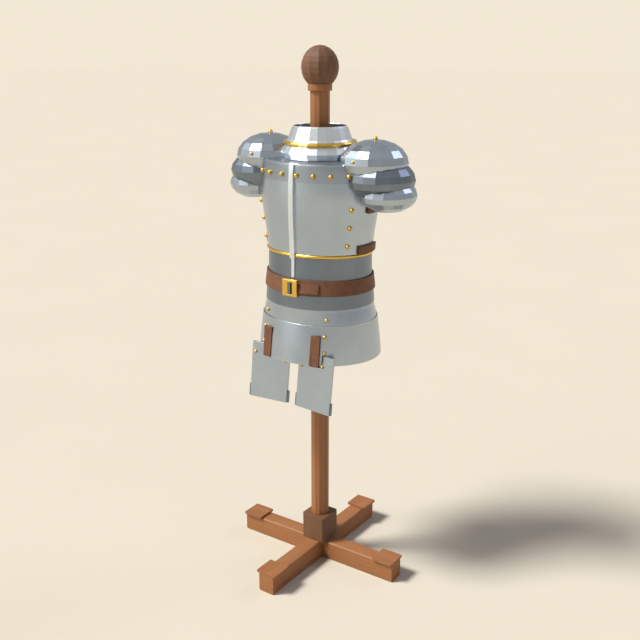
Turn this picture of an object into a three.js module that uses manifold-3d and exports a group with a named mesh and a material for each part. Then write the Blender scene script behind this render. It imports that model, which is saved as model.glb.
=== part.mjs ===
// A steel half-armour (gorget, cuirass, waist plate, belt, fauld, tassets and pauldrons) on its
// wooden cross-foot stand. Millimetres, +Z up. The armour faces -Y, +X is the wearer's left, and
// the origin is on the floor under the middle of the post.
import * as THREE from 'three';
import { mergeVertices } from 'three/addons/utils/BufferGeometryUtils.js';
import Module from 'manifold-3d';

const wasm = await Module();
wasm.setup();

// ---------------------------------------------------------------- driving dimensions
const GAP = 0.3; // clearance between neighbouring pieces
const STEEL = 2; // wall of every steel plate
const BODY_SIDES = 28; // facets round the trunk
const NECK_SIDES = 24; // facets round the gorget
const SHOULDER_SIDES = 16; // facets round a pauldron

const BEAM = { halfLength: 300, width: 55.6, height: 63, bevel: 4 };
const FOOT_CAP = { size: 72.6, thickness: 7, centre: 265 };
const BLOCK = { size: 86, height: 90, bevel: 5, socketDepth: 70 };
const POST = { radius: 29.4, sides: 12, top: 1555.5 };
const COLLAR = { radius: 36, height: 21, bevel: 2 };
const BALL = { radius: 55.6, halfHeight: 62, centreZ: 1601, sides: 12 };
const SHOULDER_BAR = { halfLength: 148, depth: 78, height: 34 };

const SEAM_Y = 12; // where breastplate and backplate meet
const ARMHOLE = { y: SEAM_Y, z: 1258, radius: 60 };
const ARMPIT = { front: -28, back: 52, outer: 222 }; // the lames stop short of the arm here

// Outer sections of the trunk pieces: height, half width, half depth and the exponent of the
// section's curve (2 is an ellipse, more is squarer).
const CUIRASS_SECTIONS = [
  { z: 1072.3, halfWidth: 171.5, halfDepth: 139.5, curve: 2.0 },
  { z: 1117, halfWidth: 174.6, halfDepth: 140.8, curve: 2.04 },
  { z: 1156, halfWidth: 180, halfDepth: 143, curve: 2.08 },
  { z: 1200, halfWidth: 187, halfDepth: 144, curve: 2.12 },
  { z: 1240, halfWidth: 190.5, halfDepth: 143.5, curve: 2.15 },
  { z: 1280, halfWidth: 187.5, halfDepth: 141.4, curve: 2.15 },
  { z: 1334, halfWidth: 179.5, halfDepth: 138.6, curve: 2.15 },
  { z: 1338, halfWidth: 174, halfDepth: 134, curve: 2.12 },
  { z: 1341.2, halfWidth: 98, halfDepth: 98, curve: 2.0 },
];
const BAND_Z = { bottom: 1281, top: 1334 };
const WAIST_SECTIONS = [
  { z: 907, halfWidth: 176, halfDepth: 154, curve: 2.0 },
  { z: 952, halfWidth: 172.5, halfDepth: 150.5, curve: 2.0 },
  { z: 998, halfWidth: 169.2, halfDepth: 140.5, curve: 2.0 },
  { z: 1030, halfWidth: 168.6, halfDepth: 138.5, curve: 2.0 },
  { z: 1084, halfWidth: 168.8, halfDepth: 136.2, curve: 2.0 },
];
const TRIM = { z: 1066.7, height: 10.4, proud: 5.9, clearance: 0.4 };
const BELT = { bottom: 950, top: 996, thickness: 5 };
const FAULD_SECTIONS = [
  { z: 845, halfWidth: 186.3, halfDepth: 156.6, curve: 2.08 },
  { z: 861, halfWidth: 184.6, halfDepth: 154.4, curve: 2.06 },
  { z: 885, halfWidth: 179, halfDepth: 152.6, curve: 2.03 },
  { z: 907, halfWidth: 173.6, halfDepth: 151.5, curve: 2.0 },
  { z: 925, halfWidth: 171.6, halfDepth: 149.2, curve: 2.0 },
];
const SKIRT_SECTIONS = [
  { z: 740.5, halfWidth: 200.5, halfDepth: 176, curve: 2.0 },
  { z: 800, halfWidth: 194.4, halfDepth: 167, curve: 2.05 },
  { z: 861, halfWidth: 187, halfDepth: 156.8, curve: 2.08 },
];

// Gorget profiles: radius against height, each from its lower edge up.
const GORGET_LOWER = [
  { radius: 110, z: 1341.8 },
  { radius: 119, z: 1359.5 },
  { radius: 104.5, z: 1380.6 },
];
const GORGET_RING = { radius: 106.2, tube: 5.6, z: 1387, sides: 6 };
const GORGET_COLLAR_SPACE = [
  { radius: 105, z: 1380 },
  { radius: 112.1, z: 1384 },
  { radius: 112.1, z: 1390 },
  { radius: 104, z: 1393.4 },
];
const GORGET_UPPER = [
  { radius: 100, z: 1379 },
  { radius: 100, z: 1392 },
  { radius: 96, z: 1397.5 },
  { radius: 83.5, z: 1431 },
  { radius: 78.5, z: 1435.5 },
];

// The ridge down the front: its outer face, as depth in front of the axis against height.
const RIDGE_WIDTH = { chest: 17, waist: 11 };
const RIDGE_FRONT = [
  { z: 1334, depth: 145.5 },
  { z: 1325, depth: 147.5 },
  { z: 1285, depth: 150.5 },
  { z: 1240, depth: 152.6 },
  { z: 1200, depth: 152.8 },
  { z: 1156, depth: 151.4 },
  { z: 1090, depth: 148 },
  { z: 1062, depth: 147.6 },
  { z: 1052, depth: 143 },
  { z: 1000, depth: 144 },
];
const RIDGE_STEP_Z = 1056; // narrower below here

const BUCKLE = { centreX: 1, bottom: 945.5, top: 997, width: 52.5, front: 162.8, thickness: 9 };
const BUCKLE_SLOT = { centreX: 2.5, bottom: 952, top: 989, width: 15.5 };
const BUCKLE_PRONG = { centreX: 0, width: 8, proud: 1 };
const TONGUE = { endX: 85, bottom: 956, top: 985.5, thickness: 4 };

const RIVET = { radius: 7.3, height: 9.2, shank: 2, length: 5, sides: 6 };
const SMALL_RIVET = { radius: 6.3, height: 7, shank: 1.8, length: 5, sides: 6 };
const PLATE_RIVET = { radius: 5.2, height: 6, shank: 1.8, length: 5, sides: 6 };
const FLAT_RIVET = { radius: 5, height: 3.4, shank: 1.8, length: 5, sides: 6 };
const BAND_RIVETS = { count: 7, firstAngle: -41.3, step: 15.3, z: 1303.4 }; // degrees
const SIDE_RIVETS = [
  { name: 'upper', x: 163.5, z: 1207 },
  { name: 'middle', x: 156, z: 1153.7 },
  { name: 'lower', x: 148.3, z: 1098.3 },
];
const FAULD_RIVETS = [
  { name: 'upper', x: 109, z: 878.5, plate: 'fauld' },
  { name: 'middle', x: 110, z: 828.9, plate: 'skirt' },
  { name: 'lower', x: 113, z: 780, plate: 'skirt' },
];

const SIDE_STRAPS = [
  { name: 'upper', z: 1205, height: 22, front: -28, back: 58 },
  { name: 'lower', z: 1084.5, height: 24, front: -43, back: 48 },
];
const SIDE_STRAP_THICKNESS = 7.5;
// The straps lie on the skirt with a flat leaning face, and their tails pass under its edge.
const TASSET_STRAP = {
  inner: 73.4, outer: 103.8, top: 832.6, bottom: 740.6, leather: 3, plank: 5.2, lap: 16,
  front: 163.6, turn: -0.1, lean: 0.0945, tail: 2.2, drop: 22,
};
const TASSET = {
  inner: 18.5, outer: 150.4, taper: -2, bottom: 597.4, top: 773, innerTop: 735, notchX: 107.5,
  depth: 7.5, front: 158.9, turn: 0.099, lean: 0.1275,
};
const TASSET_BAR = { bottom: 598, top: 636, back: 7.6, bevel: 2.5, overhang: 5.6 };
const TASSET_RIVETS = {
  left: [{ x: 112, z: 740 }, { x: 30.5, z: 728 }],
  right: [{ x: 140, z: 741 }, { x: 30.5, z: 728 }],
};
const TASSET_PINS = { left: { x: 138, z: 749.7 }, right: { x: 123, z: 749.3 } };
const PIN = { radius: 4.2, height: 1.4, shank: 1.6, length: 4, sides: 6 };

// A pauldron's lames: each is part of an upright ellipsoid with its centre at (x, 0, z). Rows are
// the heights of its flats' edges, in degrees above or below the centre.
const DOME = {
  x: 190, z: 1338.5, halfWidth: 99.5, halfDepth: 105, height: 66,
  rows: [-30, -18, 0, 18, 36, 54, 72],
};
const MIDDLE_LAME = {
  x: 216, z: 1291, halfWidth: 97.5, halfDepth: 106.5, height: 61, rows: [-46, -18, 0, 18, 36, 54],
};
const LOWER_LAME = {
  x: 242.5, z: 1248, halfWidth: 79, halfDepth: 92.5, height: 50, rows: [-58, -36, -18, 0, 18, 36, 54],
};
const LAME_TUCK = 12; // how far a lame runs on under the one above it
const DOME_RIVETS = [
  { name: 'top', out: 0, height: 93, size: RIVET },
  { name: 'front', out: -5, height: 9, size: FLAT_RIVET },
];

// ---------------------------------------------------------------- finishes
const finish = (color, roughness, metalness) => (
  new THREE.MeshStandardMaterial({ color, roughness, metalness })
);
const LIGHT_STEEL = finish(0xa3a8aa, 0.32, 0.85);
const BAND_STEEL = finish(0x979c9e, 0.36, 0.85);
const DARK_STEEL = finish(0x6c7276, 0.4, 0.85);
const RIDGE_STEEL = finish(0xcbcecf, 0.25, 0.85);
const BRASS = finish(0xd7a546, 0.3, 0.9);
const LEATHER = finish(0x7d4f38, 0.65, 0);
const POST_WOOD = finish(0xa0683f, 0.55, 0);
const DARK_WOOD = finish(0x6b4a35, 0.5, 0);

const model = new THREE.Group();

// ---------------------------------------------------------------- solids
// A closed geometry becomes a manifold solid, turned the right way out.
function solid(geometry) {
  const bare = geometry.clone();
  bare.deleteAttribute('normal');
  bare.deleteAttribute('uv');
  const merged = mergeVertices(bare, 1e-4);
  const positions = merged.attributes.position.array;
  const triangles = Uint32Array.from(merged.index.array);
  const corner = (i) => new THREE.Vector3().fromArray(positions, 3 * triangles[i]);
  let volume = 0;
  for (let i = 0; i < triangles.length; i += 3) {
    volume += corner(i).dot(corner(i + 1).cross(corner(i + 2)));
  }
  if (volume < 0) {
    for (let i = 0; i < triangles.length; i += 3) {
      [triangles[i + 1], triangles[i + 2]] = [triangles[i + 2], triangles[i + 1]];
    }
  }
  const mesh = new wasm.Mesh({
    numProp: 3,
    vertProperties: Float32Array.from(positions),
    triVerts: triangles,
  });
  return new wasm.Manifold(mesh);
}

// A solid becomes a named piece of the model.
function addPiece(name, body, material) {
  const mesh = body.getMesh();
  const geometry = new THREE.BufferGeometry();
  geometry.setAttribute('position', new THREE.BufferAttribute(mesh.vertProperties, 3));
  geometry.setIndex(new THREE.BufferAttribute(mesh.triVerts, 1));
  geometry.computeVertexNormals();
  const piece = new THREE.Mesh(geometry, material);
  piece.name = name;
  model.add(piece);
}

// The ring of points of one section.
function ringPoints({ z, halfWidth, halfDepth, curve = 2, centre = 0 }, sides) {
  return Array.from({ length: sides }, (_, i) => {
    const angle = (2 * Math.PI * i) / sides;
    const [c, s] = [Math.cos(angle), Math.sin(angle)];
    return [
      centre + halfWidth * Math.sign(c) * Math.abs(c) ** (2 / curve),
      halfDepth * Math.sign(s) * Math.abs(s) ** (2 / curve),
      z,
    ];
  });
}

// A solid swept through rings. With poles [first, last] it is capped there, and without them
// the last ring joins the first, which closes a hoop.
function sweptRings(rings, sides, poles = null) {
  const points = rings.flatMap((ring) => ringPoints(ring, sides));
  const faces = [];
  const joins = poles ? rings.length - 1 : rings.length;
  for (let j = 0; j < joins; j += 1) {
    const low = j * sides;
    const high = ((j + 1) % rings.length) * sides;
    for (let i = 0; i < sides; i += 1) {
      const next = (i + 1) % sides;
      faces.push(low + i, low + next, high + next, low + i, high + next, high + i);
    }
  }
  if (poles) {
    const first = points.length;
    points.push(poles[0], poles[1]);
    const end = (rings.length - 1) * sides;
    for (let i = 0; i < sides; i += 1) {
      const next = (i + 1) % sides;
      faces.push(first, next, i, first + 1, end + i, end + next);
    }
  }
  const geometry = new THREE.BufferGeometry();
  geometry.setAttribute('position', new THREE.Float32BufferAttribute(points.flat(), 3));
  geometry.setIndex(faces);
  return solid(geometry);
}

// Sections moved outwards by a distance, square to their own profile.
function offsetSections(sections, distance) {
  return sections.map((section, i) => {
    const before = sections[Math.max(i - 1, 0)];
    const after = sections[Math.min(i + 1, sections.length - 1)];
    const run = (after.halfWidth + after.halfDepth - before.halfWidth - before.halfDepth) / 2;
    const rise = after.z - before.z;
    const length = Math.hypot(run, rise);
    return {
      ...section,
      z: section.z - (distance * run) / length,
      halfWidth: section.halfWidth + (distance * rise) / length,
      halfDepth: section.halfDepth + (distance * rise) / length,
    };
  });
}

// A hoop of sheet whose outer face runs through the sections, from the lower edge up.
function hoop(sections, sides, thickness = STEEL) {
  const inner = offsetSections(sections, -thickness);
  return sweptRings([...sections, ...inner.reverse()], sides);
}

// The space that the sections enclose, grown by a distance, as a cutter for neighbours.
function filled(sections, sides, grow) {
  const rings = offsetSections(sections, grow);
  rings[0].z -= Math.max(grow, 0);
  rings[rings.length - 1].z += Math.max(grow, 0);
  const axis = (ring) => [ring.centre ?? 0, 0, ring.z];
  return sweptRings(rings, sides, [axis(rings[0]), axis(rings[rings.length - 1])]);
}

const roundSections = (profile) => (
  profile.map(({ radius, z }) => ({ z, halfWidth: radius, halfDepth: radius }))
);

// The section of a body at a height, between the two sections next to it.
function sectionAt(sections, z) {
  let i = 0;
  while (i < sections.length - 2 && sections[i + 1].z < z) i += 1;
  const [low, high] = [sections[i], sections[i + 1]];
  const t = (z - low.z) / (high.z - low.z);
  const mix = (key) => low[key] + (high[key] - low[key]) * t;
  return { z, halfWidth: mix('halfWidth'), halfDepth: mix('halfDepth'), curve: mix('curve') };
}

const between = (sections, bottom, top) => [
  sectionAt(sections, bottom),
  ...sections.filter(({ z }) => z > bottom + 1 && z < top - 1),
  sectionAt(sections, top),
];

// Depth of a section's front in front of the axis, at a distance to the side.
function frontDepth({ halfWidth, halfDepth, curve }, x) {
  return halfDepth * (1 - (Math.abs(x) / halfWidth) ** curve) ** (1 / curve);
}

// Box given by its lowest and highest corners.
function box(low, high) {
  const size = high.map((value, i) => value - low[i]);
  const geometry = new THREE.BoxGeometry(...size);
  geometry.translate(...low.map((value, i) => value + size[i] / 2));
  return solid(geometry);
}

// Bar of rectangular section with bevelled long edges, along +Z from the origin.
function bevelledBar(width, depth, length, bevel) {
  const [w, d] = [width / 2, depth / 2];
  const corners = [
    [w, d - bevel], [w - bevel, d], [bevel - w, d], [-w, d - bevel],
    [-w, bevel - d], [bevel - w, -d], [w - bevel, -d], [w, bevel - d],
  ];
  const outline = new THREE.Shape(corners.map(([x, y]) => new THREE.Vector2(x, y)));
  return new THREE.ExtrudeGeometry(outline, { depth: length, bevelEnabled: false });
}

// Upright prism or cylinder between two heights.
function upright(radius, bottom, top, sides) {
  const geometry = new THREE.CylinderGeometry(radius, radius, top - bottom, sides);
  geometry.rotateX(Math.PI / 2);
  geometry.translate(0, 0, (top + bottom) / 2);
  return solid(geometry);
}

// ---------------------------------------------------------------- rivets
// Turns +Z to a direction and moves the origin to a point.
function placement(point, direction) {
  const up = new THREE.Vector3(0, 0, 1);
  const turn = new THREE.Quaternion().setFromUnitVectors(up, direction.clone().normalize());
  return new THREE.Matrix4().compose(point, turn, new THREE.Vector3(1, 1, 1));
}

// A domed head. A loose one lies a gap above the plate with a shank through it, and a fused one
// grows out of the plate.
function rivet({ radius, height, shank, length, sides }, place, fused = false) {
  const foot = fused
    ? [[0, -1.8], [radius, -1.8]]
    : [[0, -length], [shank, -length], [shank, GAP], [radius, GAP]];
  const head = [[radius * 0.85, height * 0.64], [0, height]];
  const profile = [...foot, ...head];
  const geometry = new THREE.LatheGeometry(
    profile.map(([r, z]) => new THREE.Vector2(r, z)),
    sides,
  );
  geometry.rotateX(Math.PI / 2);
  geometry.applyMatrix4(place);
  return solid(geometry);
}

// The six-sided hole that a rivet's shank runs in.
function rivetHole({ shank, length }, place) {
  const radius = (shank + GAP) / Math.cos(Math.PI / 6);
  const geometry = new THREE.CylinderGeometry(radius, radius, 2 * length, 6);
  geometry.rotateX(Math.PI / 2);
  geometry.applyMatrix4(place);
  return solid(geometry);
}

// The place of a rivet on the front of a body, square to its surface.
function frontPlace(sections, x, z) {
  const depth = (dx, dz) => frontDepth(sectionAt(sections, z + dz), x + dx);
  const step = 0.5;
  const slopeX = (depth(step, 0) - depth(-step, 0)) / (2 * step);
  const slopeZ = (depth(0, step) - depth(0, -step)) / (2 * step);
  const point = new THREE.Vector3(x, -depth(0, 0), z);
  return placement(point, new THREE.Vector3(-slopeX, -1, -slopeZ));
}

const bothSides = [{ side: 'left', sign: 1 }, { side: 'right', sign: -1 }];

// ---------------------------------------------------------------- leaning plates
// A plane is the flat outer face of a plate that hangs in front of the trunk: its depth in
// front of the axis is front + turn * (x - inner) - lean * (z - bottom). The matrix takes
// (x, distance behind the face, z) to the model.
function leaningMatrix({ front, turn, lean, inner, bottom }) {
  return new THREE.Matrix4().set(
    1, 0, 0, 0,
    -turn, 1, lean, turn * inner - lean * bottom - front,
    0, 0, 1, 0,
    0, 0, 0, 1,
  );
}

const X_AXIS = new THREE.Vector3(1, 0, 0);
const Y_AXIS = new THREE.Vector3(0, 1, 0);
const Z_AXIS = new THREE.Vector3(0, 0, 1);

// Extrudes an outline, turns it to the axes given and lays it on a leaning plane.
function extrudedOnPlane(plane, outline, start, length, axes) {
  const shape = new THREE.Shape(outline.map(([u, v]) => new THREE.Vector2(u, v)));
  const geometry = new THREE.ExtrudeGeometry(shape, { depth: length, bevelEnabled: false });
  geometry.translate(0, 0, start);
  geometry.applyMatrix4(new THREE.Matrix4().makeBasis(...axes));
  geometry.applyMatrix4(leaningMatrix(plane));
  return solid(geometry);
}

// A slab whose outline is in x and z, between two distances behind the plane.
function leaningSlab(plane, outline, near, far) {
  return extrudedOnPlane(plane, outline, near, far - near, [X_AXIS, Z_AXIS, Y_AXIS]);
}

// A rectangle as an outline.
const rectangle = (left, low, right, high) => (
  [[left, low], [right, low], [right, high], [left, high]]
);

// ---------------------------------------------------------------- stand
function buildStand() {
  const beamTop = BEAM.height;
  const halfLap = BEAM.width / 2 + GAP;
  const beam = (turn) => {
    const geometry = bevelledBar(BEAM.height, BEAM.width, 2 * BEAM.halfLength, BEAM.bevel);
    geometry.translate(0, 0, -BEAM.halfLength);
    geometry.rotateY(Math.PI / 2);
    geometry.rotateZ(turn);
    geometry.translate(0, 0, BEAM.height / 2);
    return solid(geometry);
  };
  const lap = (low, high) => box([-halfLap, -halfLap, low], [halfLap, halfLap, high]);
  addPiece('stand_beam_side', beam(0).subtract(lap(beamTop / 2, beamTop + 1)), POST_WOOD);
  addPiece('stand_beam_front', beam(Math.PI / 2).subtract(lap(-1, beamTop / 2 + GAP)), POST_WOOD);

  const capLow = beamTop + GAP;
  ['left', 'back', 'right', 'front'].forEach((end, i) => {
    const turn = (i * Math.PI) / 2;
    const geometry = bevelledBar(FOOT_CAP.size, FOOT_CAP.size, FOOT_CAP.thickness, 2);
    geometry.translate(FOOT_CAP.centre, 0, capLow);
    geometry.rotateZ(turn);
    addPiece(`foot_cap_${end}`, solid(geometry), POST_WOOD);
  });

  const blockLow = beamTop + GAP;
  const blockTop = blockLow + BLOCK.height;
  const socketLow = blockTop - BLOCK.socketDepth;
  const blockBar = bevelledBar(BLOCK.size, BLOCK.size, BLOCK.height, BLOCK.bevel);
  blockBar.translate(0, 0, blockLow);
  const socket = upright(POST.radius + GAP, socketLow, blockTop + 1, POST.sides);
  addPiece('base_block', solid(blockBar).subtract(socket), DARK_WOOD);
  addPiece('post', upright(POST.radius, socketLow + GAP, POST.top, POST.sides), POST_WOOD);

  const collarLow = POST.top - COLLAR.height;
  const collarProfile = [
    [POST.radius + 0.6, collarLow], [COLLAR.radius - COLLAR.bevel, collarLow],
    [COLLAR.radius, collarLow + COLLAR.bevel], [COLLAR.radius, POST.top - COLLAR.bevel],
    [COLLAR.radius - COLLAR.bevel, POST.top], [POST.radius + 0.6, POST.top],
    [POST.radius + 0.6, collarLow],
  ];
  const collar = new THREE.LatheGeometry(
    collarProfile.map(([r, z]) => new THREE.Vector2(r, z)),
    18,
  );
  collar.rotateX(Math.PI / 2);
  addPiece('post_collar', solid(collar), POST_WOOD);

  const sphere = new THREE.SphereGeometry(BALL.radius, BALL.sides, BALL.sides);
  sphere.rotateX(Math.PI / 2);
  sphere.scale(1, 1, BALL.halfHeight / BALL.radius);
  sphere.translate(0, 0, BALL.centreZ);
  const seat = box([-60, -60, 1500], [60, 60, POST.top + GAP]);
  addPiece('ball_finial', solid(sphere).subtract(seat), DARK_WOOD);

  const inside = filled(CUIRASS_SECTIONS, BODY_SIDES, -STEEL - GAP);
  const barTop = CUIRASS_SECTIONS[CUIRASS_SECTIONS.length - 1].z;
  const bar = box(
    [-SHOULDER_BAR.halfLength, -SHOULDER_BAR.depth / 2, barTop - SHOULDER_BAR.height],
    [SHOULDER_BAR.halfLength, SHOULDER_BAR.depth / 2, barTop],
  );
  const bore = upright(POST.radius + GAP, 1200, 1400, POST.sides);
  addPiece('shoulder_bar', bar.intersect(inside).subtract(bore), POST_WOOD);
}

// ---------------------------------------------------------------- cuirass
const bandSections = offsetSections(
  between(CUIRASS_SECTIONS, BAND_Z.bottom, BAND_Z.top),
  GAP + STEEL,
);

// The band's rivets, evenly spaced round its front.
function bandRivetPlaces() {
  const { count, firstAngle, step, z } = BAND_RIVETS;
  const reach = sectionAt(bandSections, z).halfWidth * 1.075;
  return Array.from({ length: count }, (_, i) => {
    const angle = THREE.MathUtils.degToRad(firstAngle + i * step);
    return frontPlace(bandSections, reach * Math.sin(angle), z);
  });
}

function armholeCutter() {
  const geometry = new THREE.CylinderGeometry(ARMHOLE.radius, ARMHOLE.radius, 500, 20);
  geometry.rotateZ(Math.PI / 2);
  geometry.translate(0, ARMHOLE.y, ARMHOLE.z);
  return solid(geometry);
}

function buildCuirass() {
  const armholes = armholeCutter();
  const frontSpace = box([-300, -300, 900], [300, SEAM_Y - GAP / 2, 1500]);
  const backSpace = box([-300, SEAM_Y + GAP / 2, 900], [300, 300, 1500]);
  const shell = hoop(CUIRASS_SECTIONS, BODY_SIDES).subtract(armholes);

  let breastplate = shell.intersect(frontSpace);
  SIDE_RIVETS.forEach(({ name, x, z }) => {
    bothSides.forEach(({ side, sign }) => {
      const place = frontPlace(CUIRASS_SECTIONS, sign * x, z);
      breastplate = breastplate.subtract(rivetHole(RIVET, place));
      addPiece(`rivet_side_${side}_${name}`, rivet(RIVET, place), BRASS);
    });
  });
  addPiece('breastplate', breastplate, LIGHT_STEEL);
  addPiece('backplate', shell.intersect(backSpace), LIGHT_STEEL);

  let band = hoop(bandSections, BODY_SIDES).subtract(armholes).intersect(frontSpace);
  bandRivetPlaces().forEach((place) => { band = band.add(rivet(RIVET, place, true)); });
  addPiece('breast_band', band, BAND_STEEL);
}

// The trim is a half-round bead round the waist plate, open where the ridge crosses it.
const TRIM_PROFILE = [
  { rise: -0.5, out: 0 }, { rise: -0.5, out: 0.5 }, { rise: -0.2, out: 1 },
  { rise: 0.2, out: 1 }, { rise: 0.5, out: 0.5 }, { rise: 0.5, out: 0 },
];

function trimRings() {
  return TRIM_PROFILE.map(({ rise, out }) => {
    const section = sectionAt(WAIST_SECTIONS, TRIM.z + rise * TRIM.height);
    const grow = THREE.MathUtils.lerp(TRIM.clearance, TRIM.proud, out);
    return {
      ...section, halfWidth: section.halfWidth + grow, halfDepth: section.halfDepth + grow,
    };
  });
}

function buildRidge() {
  const outline = new THREE.Shape();
  const last = RIDGE_FRONT[RIDGE_FRONT.length - 1];
  outline.moveTo(-100, RIDGE_FRONT[0].z);
  RIDGE_FRONT.forEach(({ z, depth }) => outline.lineTo(-depth, z));
  outline.lineTo(-100, last.z);
  const slab = (width) => {
    const geometry = new THREE.ExtrudeGeometry(outline, { depth: width, bevelEnabled: false });
    geometry.translate(0, 0, -width / 2);
    geometry.rotateX(Math.PI / 2);
    geometry.rotateZ(Math.PI / 2);
    return solid(geometry);
  };
  const lower = box([-50, -300, 900], [50, 300, RIDGE_STEP_Z]);
  let ridge = slab(RIDGE_WIDTH.chest).subtract(lower).add(slab(RIDGE_WIDTH.waist));
  const neighbours = [
    filled(CUIRASS_SECTIONS, BODY_SIDES, GAP),
    filled(bandSections, BODY_SIDES, GAP),
    filled(WAIST_SECTIONS, BODY_SIDES, GAP),
  ];
  neighbours.forEach((neighbour) => { ridge = ridge.subtract(neighbour); });
  addPiece('medial_ridge', ridge, RIDGE_STEEL);
}

// ---------------------------------------------------------------- waist and belt
const beltInner = offsetSections(between(WAIST_SECTIONS, BELT.bottom, BELT.top), 2 * GAP);

function buildWaist() {
  addPiece('waist_plate', hoop(WAIST_SECTIONS, BODY_SIDES), DARK_STEEL);
  const ridgeHalf = RIDGE_WIDTH.chest / 2 + GAP;
  const ridgeGap = box([-ridgeHalf, -200, 1000], [ridgeHalf, -100, 1100]);
  addPiece('waist_trim', sweptRings(trimRings(), BODY_SIDES).subtract(ridgeGap), BRASS);

  const beltOuter = offsetSections(beltInner, BELT.thickness);
  addPiece('belt', hoop(beltOuter, BODY_SIDES, BELT.thickness), LEATHER);

  const tongueInner = offsetSections(beltOuter, GAP);
  const tongueOuter = offsetSections(tongueInner, TONGUE.thickness);
  const wrap = hoop(tongueOuter, BODY_SIDES, TONGUE.thickness);
  const buckleEdge = BUCKLE.centreX + BUCKLE.width / 2 + GAP;
  const reach = box([buckleEdge, -300, TONGUE.bottom], [TONGUE.endX, 0, TONGUE.top]);
  addPiece('belt_tongue', wrap.intersect(reach), LEATHER);

  const beltSpace = filled(beltOuter, BODY_SIDES, GAP);
  const column = ({ centreX, width, bottom, top }, near, far) => box(
    [centreX - width / 2, -far, bottom],
    [centreX + width / 2, -near, top],
  );
  const frame = column(BUCKLE, BUCKLE.front - BUCKLE.thickness, BUCKLE.front)
    .subtract(column(BUCKLE_SLOT, 100, 200))
    .subtract(beltSpace);
  addPiece('buckle_frame', frame, BRASS);
  const { bottom, top } = BUCKLE_SLOT;
  const prong = column(
    { ...BUCKLE_PRONG, bottom: bottom + GAP, top: top - GAP },
    BUCKLE.front - 20,
    BUCKLE.front + BUCKLE_PRONG.proud,
  );
  addPiece('buckle_prong', prong.subtract(beltSpace), DARK_STEEL);
}

// ---------------------------------------------------------------- fauld
function buildFauld() {
  const plates = {
    fauld: { body: hoop(FAULD_SECTIONS, BODY_SIDES), sections: FAULD_SECTIONS },
    skirt: { body: hoop(SKIRT_SECTIONS, BODY_SIDES), sections: SKIRT_SECTIONS },
  };
  FAULD_RIVETS.forEach(({ name, x, z, plate }) => {
    bothSides.forEach(({ side, sign }) => {
      const place = frontPlace(plates[plate].sections, sign * x, z);
      plates[plate].body = plates[plate].body.subtract(rivetHole(SMALL_RIVET, place));
      addPiece(`rivet_fauld_${side}_${name}`, rivet(SMALL_RIVET, place), BRASS);
    });
  });
  addPiece('fauld_lame', plates.fauld.body, LIGHT_STEEL);
  addPiece('skirt_lame', plates.skirt.body, LIGHT_STEEL);
}

// ---------------------------------------------------------------- straps and tassets
// A strap across the side seam, with some room to spare round it where asked.
function sideStrap({ z, height, front, back }, sign, room = 0) {
  const low = z - height / 2;
  const high = z + height / 2;
  const inner = offsetSections(between(CUIRASS_SECTIONS, low, high), 2 * GAP);
  const outer = offsetSections(inner, SIDE_STRAP_THICKNESS + room);
  outer[0].z -= room;
  outer[outer.length - 1].z += room;
  return hoop(outer, BODY_SIDES, SIDE_STRAP_THICKNESS + room).intersect(
    box([sign > 0 ? 0 : -300, front - room, 1000], [sign > 0 ? 300 : 0, back + room, 1300]),
  );
}

function buildSideStraps() {
  SIDE_STRAPS.forEach((strap) => {
    bothSides.forEach(({ side, sign }) => {
      addPiece(`side_strap_${side}_${strap.name}`, sideStrap(strap, sign), LEATHER);
    });
  });
}

// The space of the skirt and of all that it encloses, from a height upwards.
function skirtSpace(from) {
  const rings = offsetSections(SKIRT_SECTIONS, GAP);
  const lowest = { ...rings[0], z: from };
  return sweptRings([lowest, ...rings], BODY_SIDES, [[0, 0, from], [0, 0, rings[2].z]]);
}

// The strap lies down the skirt, and its tail turns under the skirt's edge and hangs behind
// the tasset.
function tassetStrap() {
  const { inner, outer, bottom, top, leather, plank, lap, tail, drop } = TASSET_STRAP;
  const rim = SKIRT_SECTIONS[0].z - GAP;
  const low = rim - tail;
  const face = leaningSlab(TASSET_STRAP, rectangle(inner, bottom, outer, top), 0, plank);
  const cover = hoop(offsetSections(SKIRT_SECTIONS, GAP + leather), BODY_SIDES, leather)
    .intersect(box([inner, -200, bottom], [inner + lap, -100, top]));
  const bend = leaningSlab(TASSET_STRAP, rectangle(inner, low, outer, bottom + 1), 1, 60);
  const tailBack = TASSET.depth + GAP + tail;
  const under = leaningSlab(TASSET_STRAP, rectangle(inner, low, outer, rim), 2, 60);
  const leaf = leaningSlab(
    TASSET,
    rectangle(inner, low - drop, outer, rim),
    TASSET.depth + GAP,
    tailBack,
  );
  const beyond = leaningSlab(TASSET, rectangle(0, 600, 300, 900), tailBack, 300);
  return face.add(cover).add(bend)
    .subtract(skirtSpace(low - 1))
    .add(under.subtract(beyond))
    .add(leaf);
}

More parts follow.
